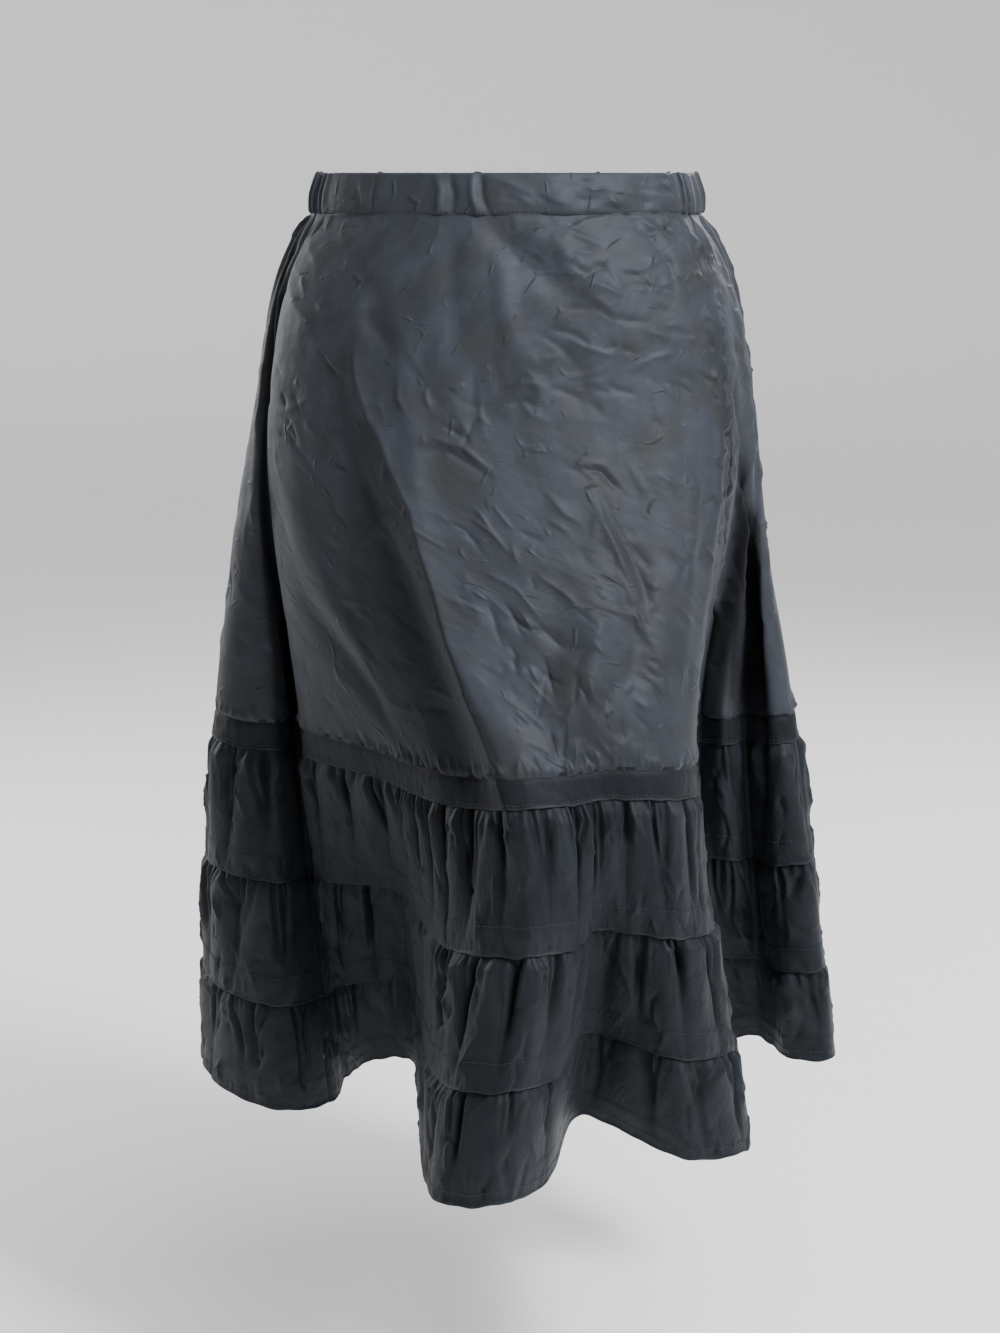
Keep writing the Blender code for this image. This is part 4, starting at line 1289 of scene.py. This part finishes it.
SLIT_UNEVENNESS = 0.38
SLIT_REACH = (0.14, 0.50, 0.36)  # least, and what chance and a near valley add, in shares of the tier
SLIT_DEPTH = (0.0009, 0.0043)  # here and below: the least, and what is added at most
SLIT_DEPTH_IN_VALLEY = (0.55, 0.80)
SLIT_WIDTH = (0.0017, 0.0014)
SLIT_PULL = (0.25, 0.7)
SLIT_WOBBLE = 0.0016
SLIT_SHOULDER = 0.28
WIDTHS_TO_EDGE = 3.2
BAND_ROUND_M = 1.85
HEM_WIDER_M = 0.92


# %% Gathers and slits
def gather_columns():
    """The places of the solids' columns, from which every third is a gather's crest."""
    halves = ((LEFT_SHARE, RIGHT_SHARE, FRONT_GATHERS), (RIGHT_SHARE, LEFT_SHARE + 1.0, BACK_GATHERS))
    parts = []
    for seed, (start, end, gathers) in enumerate(halves, COLUMN_SEED):
        places = uneven(gathers * COLUMNS_PER_GATHER, seed, GATHER_UNEVENNESS)
        places[0] = 0.0
        parts.append(start + (end - start) * places)
    return np.concatenate(parts)


def slits(relief, share, down, number, crests):
    """Presses the fine slits of one tier: close together at the seam, leaning into the broad valleys."""
    start = TIER_STARTS[number - 1]
    length = TIER_LENGTHS[number - 1]
    scale = BAND_ROUND_M + HEM_WIDER_M * (start + length / 3 - BAND_END) / (HEM - BAND_END)
    rng = np.random.default_rng(60 + number)
    places = uneven(int(scale / SLIT_SPACING[number - 1]), 70 + number, SLIT_UNEVENNESS)
    t = unit((down - start) / length)
    for place in np.concatenate([places, places + 1]):
        size = rng.uniform(0.0, 1.0, 5)
        phase = crest_phase(np.array([place]), crests)[0]
        between = math.floor(phase) + 0.5
        nearness = 1 - 2 * abs(between - phase)
        reach = SLIT_REACH[0] + SLIT_REACH[1] * size[0] ** 1.3 + SLIT_REACH[2] * nearness * size[1]
        depth = SLIT_DEPTH[0] + SLIT_DEPTH[1] * size[2] ** 1.4
        depth *= SLIT_DEPTH_IN_VALLEY[0] + SLIT_DEPTH_IN_VALLEY[1] * nearness
        width = SLIT_WIDTH[0] + SLIT_WIDTH[1] * size[3]
        valley = np.interp(between, np.arange(-len(crests), 2 * len(crests)), thrice(crests))
        pull = (valley - place) * (SLIT_PULL[0] + SLIT_PULL[1] * size[4])
        sway = SLIT_WOBBLE * (size[1] - 0.5)
        rows = np.flatnonzero(t <= reach)
        part = t[rows] / reach
        path = place + pull * eased(part) + sway * np.sin(5 * part + 6 * size[0])
        margin = WIDTHS_TO_EDGE * width / scale
        columns = np.flatnonzero((share > path.min() - margin) & (share < path.max() + margin))
        if len(columns) == 0:
            continue
        away = (share[None, columns] - path[:, None]) * scale
        strength = np.minimum(1.0, 0.45 + part * reach / 0.08) * (1 - part**3)
        wide = width * (1 + 0.5 * part)[:, None]
        section = bell(away, wide) - SLIT_SHOULDER * bell(np.abs(away) - 2.0 * wide, wide)
        sunk = depth * strength[:, None] * section
        relief[rows[0] : rows[-1] + 1, columns[0] : columns[-1] + 1] -= sunk


# %% The tiers
tier_creases = []
for number, (start, length) in enumerate(zip(TIER_STARTS, TIER_LENGTHS), 1):
    low = start * 100
    edge = (start + length) * 100 - 0.1
    span = (low + 1.5, low + length * 100 - 0.6)
    steep = Strewn(80 + number, 230, (6, 106), span, (-32, 32), (10, 46), (2.6, 4.6), (0.7, 2.0))
    level = Strewn(84 + number, 110, (6, 106), span, (50, 125), (6, 22), (2.8, 4.2), (0.6, 1.5))
    sewn = Tucks(90 + number, (6, 106), edge, (6, 15), (5, 20), (2.4, 3.6), (0.3, 0.9), True)
    tier_creases += scattered(*steep) + scattered(*level) + tucks(*sewn)


def tier_relief(number):
    """The relief of one tier, counted from the top."""
    start = TIER_STARTS[number - 1]
    length = TIER_LENGTHS[number - 1]
    crests = np.sort(gather_columns()[number % COLUMNS_PER_GATHER :: COLUMNS_PER_GATHER] % 1.0)
    own_height = np.random.default_rng(HEIGHT_SEED + number).uniform(*HEIGHT_RANGE, len(crests))

    def relief_at(share, down):
        t = unit((down - start) / length)[:, None]
        rise = unit(t / TIER_RISE)
        pinch = GATHER_PINCH + (1 - GATHER_PINCH) * rise
        phase = crest_phase(share, crests)
        lean = 0.10 * np.sin(1.7 * phase[:1]) * t
        wave = 2 * np.abs(np.cos(math.pi * (phase + lean))) ** 0.85 - 1
        own = np.interp(share % 1.0, crests, own_height, period=1.0)
        folds = GATHER_HEIGHT * own * pinch * (1 - GATHER_FADE * t**1.6) * wave
        puff = TIER_PUFF * rise * (1 - TIER_PUFF_FADE * t**TIER_PUFF_CURVE)
        broad = (folds + puff) * room(share, down) * off_seam(share)
        fine = np.zeros(share.shape)
        slits(fine, share[0], down, number, crests)
        for crease in tier_creases:
            press(fine, share, down, crease)
        fine *= TIER_LEAST_ROOM + (1 - TIER_LEAST_ROOM) * room(share, down)
        below_strip = down - (start + length - STRIP_DEPTH)
        stitched = (STRIP_STEP * unit(below_strip / STRIP_STEP_EDGE + 0.5))[:, None]
        seam = -SEAM_SUNK * (1 - off_seam(share, SEAM_SUNK_REACH))
        form = form_relief(share, down)
        relief = broad + fine + form + stitched + seam - (LAP + SEAM_SUNK) * (1 - rise)
        relief[0] = form[0] + TUCKED_IN
        return relief

    return relief_at


tier_downs = [
    rows_down(start, start + length, count)
    for start, length, count in zip(TIER_STARTS, TIER_LENGTHS, TIER_ROWS)
]
for number, down in enumerate(tier_downs, 1):
    relief_at = tier_relief(number)
    for side in SIDES:
        strip_sheet(f"tier_{number}_cloth_{side}", side, TIER_COLUMNS[side], down, relief_at, 5, GATHERED)

# %% [markdown]
# ## Sewing
# A machine stitch is a short thread, modelled once. Each row of stitches is a copy of it every four
# millimetres along one line of a sheet's grid, turned to follow the cloth.

# %% One stitch
STITCH_RADIUS = 0.0003
STITCH_LENGTH = 0.0029
STITCH_PITCH = 0.0042
STITCH_STANDS = 0.6
bpy.ops.object.select_all(action="DESELECT")
bpy.ops.mesh.primitive_cylinder_add(
    vertices=6,
    radius=STITCH_RADIUS,
    depth=STITCH_LENGTH,
    rotation=(0, math.pi / 2, 0),
)
bpy.ops.object.transform_apply(location=False, rotation=True, scale=False)
stitch = bpy.context.object
STITCH_POINTS = np.array([vertex.co[:] for vertex in stitch.data.vertices])
STITCH_FACES = [tuple(face.vertices) for face in stitch.data.polygons]
bpy.data.objects.remove(stitch)
print("one stitch has", len(STITCH_POINTS), "points")

# %% Rows of stitches
STITCHES = {}


def read_along(at, way, values):
    """The three coordinates of values, read at places along a line."""
    return np.stack([np.interp(at, way, values[:, k]) for k in range(3)], axis=-1)


def stitch_row(cloth, row):
    """A row of stitches along one line of a sheet's grid; row may fall between two lines of it."""
    points = GRIDS[cloth]
    normals = surface_normals(points)
    upper = int(row)
    line = points[upper] + (points[upper + 1] - points[upper]) * (row - upper)
    out = normals[upper] + (normals[upper + 1] - normals[upper]) * (row - upper)
    way = np.concatenate([[0.0], np.cumsum(np.linalg.norm(np.diff(line, axis=0), axis=1))])
    at = np.arange(STITCH_PITCH, way[-1] - STITCH_PITCH, STITCH_PITCH)
    spot = read_along(at, way, line)
    ahead = read_along(at + STITCH_LENGTH / 2, way, line) - spot
    ahead /= np.linalg.norm(ahead, axis=1, keepdims=True)
    up = read_along(at, way, out)
    up -= ahead * (up * ahead).sum(axis=1, keepdims=True)
    up /= np.linalg.norm(up, axis=1, keepdims=True)
    frames = np.stack([ahead, np.cross(up, ahead), up], axis=1)
    placed = spot[:, None] + up[:, None] * STITCH_RADIUS * STITCH_STANDS + STITCH_POINTS @ frames
    firsts = len(STITCH_POINTS) * np.arange(len(at))
    faces = [tuple(corner + int(first) for corner in face) for first in firsts for face in STITCH_FACES]
    mesh = bpy.data.meshes.new(cloth.replace("cloth", "stitches"))
    mesh.from_pydata(placed.reshape(-1, 3), [], faces)
    mesh.shade_smooth()
    piece = bpy.data.objects.new(mesh.name, mesh)
    bpy.context.scene.collection.objects.link(piece)
    STITCHES[cloth] = piece


def row_at(down, place):
    """The row of a sheet's grid at a length down the cloth."""
    return float(np.interp(place, down, np.arange(len(down))))


WAISTBAND_ROW = 28.6
BAND_STITCHES = 0.0032
TIER_STITCHES = (STRIP_DEPTH, STRIP_DEPTH, 0.010)
for side in SIDES:
    stitch_row(f"waistband_cloth_{side}", WAISTBAND_ROW)
    stitch_row(f"flat_band_cloth_{side}", row_at(band_down, BAND_END - BAND_STITCHES))
    for number, (down, up_from_edge) in enumerate(zip(tier_downs, TIER_STITCHES), 1):
        stitch_row(f"tier_{number}_cloth_{side}", row_at(down, down[-1] - up_from_edge))
print(len(STITCHES), "rows of stitches")

# %% [markdown]
# ## Finishes
# The taffeta is slate, with bluer and browner patches, because its warp and weft differ in colour. The
# pattern runs on the flat map, in metres, so the weave turns with the folds. The tiers and the band are a
# blacker cloth with less shine, and a crinkle that runs mostly down it.

# %% Nodes shared by the finishes
WAVE_M = 0.314  # how far apart the ridges of a wave texture lie at a scale of 1
# The colour that painted shade deep in the folds mixes the finishes towards.
PAINTED_SHADE_BLACK = (0.0008, 0.0008, 0.0010, 1)


def wire(tree, kind, inputs=(), **settings):
    """A node with its settings, and with each input given a number, a colour or a socket."""
    node = tree.nodes.new(kind)
    for name, value in settings.items():
        setattr(node, name, value)
    for name, value in inputs:
        if isinstance(value, bpy.types.NodeSocket):
            tree.links.new(value, node.inputs[name])
        else:
            node.inputs[name].default_value = value
    return node


def noise(tree, at, stretch, detail, roughness=0.55, distortion=0.0):
    """A noise on the flat map, with its grain per metre across and down."""
    mapping = wire(tree, "ShaderNodeMapping", [("Vector", at), ("Scale", (*stretch, 1.0))])
    settings = [("Vector", mapping.outputs["Vector"]), ("Scale", 1.0), ("Detail", detail)]
    settings += [("Roughness", roughness), ("Distortion", distortion)]
    return wire(tree, "ShaderNodeTexNoise", settings).outputs["Fac"]


def ramp(tree, fac, stops):
    """A colour ramp from (place, grey) pairs."""
    node = wire(tree, "ShaderNodeValToRGB", [("Fac", fac)])
    band = node.color_ramp
    while len(band.elements) < len(stops):
        band.elements.new(0.5)
    for element, (place, grey) in zip(band.elements, stops):
        element.position = place
        element.color = (grey, grey, grey, 1)
    return node.outputs["Color"]


def mix(tree, fac, under, over, blend="MIX"):
    """Two colours mixed by a factor."""
    node = tree.nodes.new("ShaderNodeMix")
    node.data_type = "RGBA"
    node.blend_type = blend
    for socket, value in ((node.inputs[0], fac), (node.inputs[6], under), (node.inputs[7], over)):
        if isinstance(value, bpy.types.NodeSocket):
            tree.links.new(value, socket)
        else:
            socket.default_value = value
    return node.outputs[2]


def bump(tree, height, distance, strength, under=None):
    """A bump on top of another."""
    inputs = [("Height", height), ("Distance", distance), ("Strength", strength)]
    if under is not None:
        inputs.append(("Normal", under))
    return wire(tree, "ShaderNodeBump", inputs).outputs["Normal"]


def mark(tree, name):
    """A mark that the sheets carry, from 0 to 1."""
    return wire(tree, "ShaderNodeAttribute", attribute_name=name).outputs["Fac"]


def settle(shader, settings):
    """Gives the shader's unlinked inputs their values."""
    for name, value in settings.items():
        shader.inputs[name].default_value = value


def start_finish(name):
    """A new material: its tree, its shader and the flat map in metres."""
    material = bpy.data.materials.new(name)
    material.use_nodes = True
    tree = material.node_tree
    at = wire(tree, "ShaderNodeUVMap", uv_map="flat_cloth").outputs["UV"]
    return material, tree, tree.nodes["Principled BSDF"], at


def weave(tree, at, thread_m):
    """A plain weave: two sets of fine ridges across each other."""
    inputs = [("Vector", at), ("Scale", WAVE_M / thread_m)]
    across = wire(tree, "ShaderNodeTexWave", inputs, bands_direction="X")
    down = wire(tree, "ShaderNodeTexWave", inputs, bands_direction="Y")
    inputs = [(0, across.outputs["Fac"]), (1, down.outputs["Fac"])]
    return wire(tree, "ShaderNodeMath", inputs, operation="MAXIMUM").outputs[0]


def paint_fold_shade(tree, shader, colour, rough):
    """Hands the shader its colour and roughness, with painted shade deep in the folds: darker and duller
    there.
    """
    fold = mark(tree, "painted_fold_shade")
    tree.links.new(mix(tree, fold, colour, PAINTED_SHADE_BLACK), shader.inputs["Base Color"])
    dull = wire(tree, "ShaderNodeMath", [(0, rough), (1, fold)], operation="MAXIMUM").outputs[0]
    tree.links.new(dull, shader.inputs["Roughness"])


Grain = namedtuple("Grain", "stretch detail roughness distortion", defaults=(0.55, 0.0))
Bump = namedtuple("Bump", "grain distance strength")


def bumps(tree, at, table, under=None):
    """Bumps of noise, one on top of another."""
    for row in table:
        under = bump(tree, noise(tree, at, *row.grain), row.distance, row.strength, under)
    return under


# %% Taffeta
TAFFETA_SLATE = (0.0268, 0.0305, 0.0362, 1)
TAFFETA_BLUE = (0.0345, 0.0390, 0.0506, 1)
TAFFETA_BROWN = (0.0292, 0.0296, 0.0316, 1)
MOTTLE = Grain((26, 17), 6, 0.62, 0.1)
MOTTLE_STOPS = ((0.42, 0.0), (0.50, 0.45), (0.60, 1.0))
WARM = Grain((17, 14), 5, 0.6, 0.1)
WARM_STOPS = ((0.52, 0.0), (0.62, 0.75))
SLUB = Grain((45, 1500), 3)
SLUB_STOPS = ((0.3, 0.90), (0.7, 1.0))
SHINE_PATCHES = Grain((60, 40), 4)
CRUMPLE = (
    Bump(Grain((20, 24), 3, 0.50, 0.1), 0.0060, 0.45),
    Bump(Grain((70, 75), 3, 0.50), 0.0012, 0.45),
)
SLUB_BUMP = (Bump(SLUB, 0.00008, 0.3),)
TAFFETA_THREAD = 0.0007
CREASE_SETS = (
    ((13, 24), 12.0, (60, 42)),
    ((16, 12), -38.0, (50, 62)),
)
CREASE_HALF_WIDTH = 0.017
CREASED_PATCHES = ((0.57, 0.0), (0.67, 1.0))
# Colour of the painted highlight along folded edges.
TAFFETA_EDGE_HIGHLIGHT = (0.07, 0.075, 0.085, 1)
TAFFETA_ROUGH = (0.47, 0.64)
TAFFETA_SHINE = {
    "Specular IOR Level": 0.17,
    "Specular Tint": (0.86, 0.91, 1.0, 1),
    "Sheen Weight": 0.05,
    "Sheen Roughness": 0.38,
    "Sheen Tint": (0.74, 0.82, 1.0, 1),
}


def fine_creases(tree, at, stretch, lean_deg, patches):
    """Thin crooked creases: where a noise passes through its middle value, kept only in some patches."""
    turn = (0.0, 0.0, math.radians(lean_deg))
    turned = wire(tree, "ShaderNodeMapping", [("Vector", at), ("Rotation", turn)]).outputs["Vector"]
    edges = [(0.5 - CREASE_HALF_WIDTH, 0.0), (0.5, 1.0), (0.5 + CREASE_HALF_WIDTH, 0.0)]
    lines = ramp(tree, noise(tree, turned, stretch, 0.6, 0.4), edges)
    where = ramp(tree, noise(tree, turned, patches, 1, 0.5), CREASED_PATCHES)
    return wire(tree, "ShaderNodeMath", [(0, lines), (1, where)], operation="MULTIPLY").outputs[0]


def taffeta_finish():
    """Slate taffeta: crisp, softly shining, mottled where it is crumpled."""
    material, tree, shader, at = start_finish("slate_taffeta_cloth")
    mottle = ramp(tree, noise(tree, at, *MOTTLE), MOTTLE_STOPS)
    colour = mix(tree, mottle, TAFFETA_SLATE, TAFFETA_BLUE)
    warm = ramp(tree, noise(tree, at, *WARM), WARM_STOPS)
    colour = mix(tree, warm, colour, TAFFETA_BROWN)
    slub = ramp(tree, noise(tree, at, *SLUB), SLUB_STOPS)
    colour = mix(tree, 1.0, colour, slub, "MULTIPLY")
    # Painted highlight along folded edges, from the sheets' mark.
    colour = mix(tree, mark(tree, "edge_highlight"), colour, TAFFETA_EDGE_HIGHLIGHT)
    least, most = TAFFETA_ROUGH
    range_of = [("Value", noise(tree, at, *SHINE_PATCHES)), ("To Min", least), ("To Max", most)]
    paint_fold_shade(tree, shader, colour, wire(tree, "ShaderNodeMapRange", range_of).outputs["Result"])
    settle(shader, TAFFETA_SHINE)
    normal = bumps(tree, at, CRUMPLE)
    for row in CREASE_SETS:
        normal = bump(tree, fine_creases(tree, at, *row), 0.0010, 0.8, normal)
    normal = bumps(tree, at, SLUB_BUMP, normal)
    normal = bump(tree, weave(tree, at, TAFFETA_THREAD), 0.00006, 0.4, normal)
    tree.links.new(normal, shader.inputs["Normal"])
    return material


# %% Crinkled cloth of the tiers and the plain cloth of the flat band
DARK_MOTTLE = Grain((24, 15), 5, 0.6, 0.5)
DARK_MOTTLE_STOPS = ((0.30, 0.0), (0.70, 1.0))
FLECK = Grain((900, 1300), 2)
FLECK_STOPS = ((0.3, 0.82), (0.7, 1.0))
DARK_THREAD = 0.0008
DarkCloth = namedtuple("DarkCloth", "dark light rough crinkle sheen")
BAND_CLOTH = DarkCloth((0.0054, 0.0068, 0.0090), (0.0094, 0.0114, 0.0146), 0.64, 0.30, 0.025)
TIER_CLOTH = DarkCloth((0.0052, 0.0068, 0.0094), (0.0150, 0.0180, 0.0228), 0.56, 0.60, 0.035)
# Colour of the painted highlight along folded edges.
DARK_CLOTH_EDGE_HIGHLIGHT = (0.045, 0.049, 0.055, 1)
ROUGH_SPREAD = 0.06
DARK_SHINE = {
    "Specular IOR Level": 0.16,
    "Specular Tint": (0.86, 0.92, 1.0, 1),
    "Sheen Roughness": 0.5,
    "Sheen Tint": (0.72, 0.80, 0.92, 1),
}
THREAD_FINISH = {
    "Base Color": (0.030, 0.033, 0.040, 1),
    "Roughness": 0.55,
    "Specular IOR Level": 0.2,
}


def dark_cloth_finish(name, cloth):
    """A blacker cloth with less shine and a fine crinkle."""
    material, tree, shader, at = start_finish(name)
    mottle = ramp(tree, noise(tree, at, *DARK_MOTTLE), DARK_MOTTLE_STOPS)
    colour = mix(tree, mottle, (*cloth.dark, 1), (*cloth.light, 1))
    fleck = ramp(tree, noise(tree, at, *FLECK), FLECK_STOPS)
    colour = mix(tree, 1.0, colour, fleck, "MULTIPLY")
    # Painted highlight along folded edges, from the sheets' mark.
    colour = mix(tree, mark(tree, "edge_highlight"), colour, DARK_CLOTH_EDGE_HIGHLIGHT)
    least, most = cloth.rough - ROUGH_SPREAD, cloth.rough + ROUGH_SPREAD
    range_of = [("Value", mottle), ("To Min", most), ("To Max", least)]
    paint_fold_shade(tree, shader, colour, wire(tree, "ShaderNodeMapRange", range_of).outputs["Result"])
    settle(shader, DARK_SHINE | {"Sheen Weight": cloth.sheen})
    crinkle = (
        Bump(Grain((230, 60), 5, 0.6, 0.3), 0.0016, cloth.crinkle),
        Bump(Grain((90, 190), 4, 0.6), 0.0010, cloth.crinkle * 0.7),
    )
    normal = bump(tree, weave(tree, at, DARK_THREAD), 0.00008, 0.4, bumps(tree, at, crinkle))
    tree.links.new(normal, shader.inputs["Normal"])
    return material


def thread_finish():
    """Slate sewing thread, a little paler than the cloth."""
    material = bpy.data.materials.new("slate_thread")
    material.use_nodes = True
    settle(material.node_tree.nodes["Principled BSDF"], THREAD_FINISH)
    return material


taffeta = taffeta_finish()
thread = thread_finish()
band_cloth = dark_cloth_finish("flat_band_cloth", BAND_CLOTH)
tier_cloth = dark_cloth_finish("crinkled_tier_cloth", TIER_CLOTH)
print("four finishes")

# %% [markdown]
# ## Handing the pieces over
# Every sheet replaces its own solid and takes its finish.

# %% Pieces
Cut = namedtuple("Cut", "part slot finish front_width back_width length held")
CUTS = (
    Cut("waistband", "taffeta", taffeta, 0.44, 0.62, 0.076, "gathered"),
    Cut("panel", "taffeta", taffeta, 0.62, 0.86, 0.480, "hung"),
    Cut("flat_band", "flat_band", band_cloth, 0.78, 1.16, 0.030, "hung"),
    Cut("tier_1", "tier_cloth", tier_cloth, 1.00, 1.46, 0.132, "gathered"),
    Cut("tier_2", "tier_cloth", tier_cloth, 1.12, 1.64, 0.124, "gathered"),
    Cut("tier_3", "tier_cloth", tier_cloth, 1.25, 1.84, 0.108, "gathered"),
)
for cut in CUTS:
    for side, width in zip(SIDES, (cut.front_width, cut.back_width)):
        cloth = f"{cut.part}_cloth_{side}"
        piece = SHEETS[cloth]
        piece.data.materials.append(cut.finish)
        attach(piece, "root")
        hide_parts(f"{cut.part}_{side}")
        sewn = [STITCHES[cloth]] if cloth in STITCHES else []
        for row in sewn:
            row.data.materials.append(thread)
            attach(row, "root")
print(len(SHEETS), "sheets ride on the root")
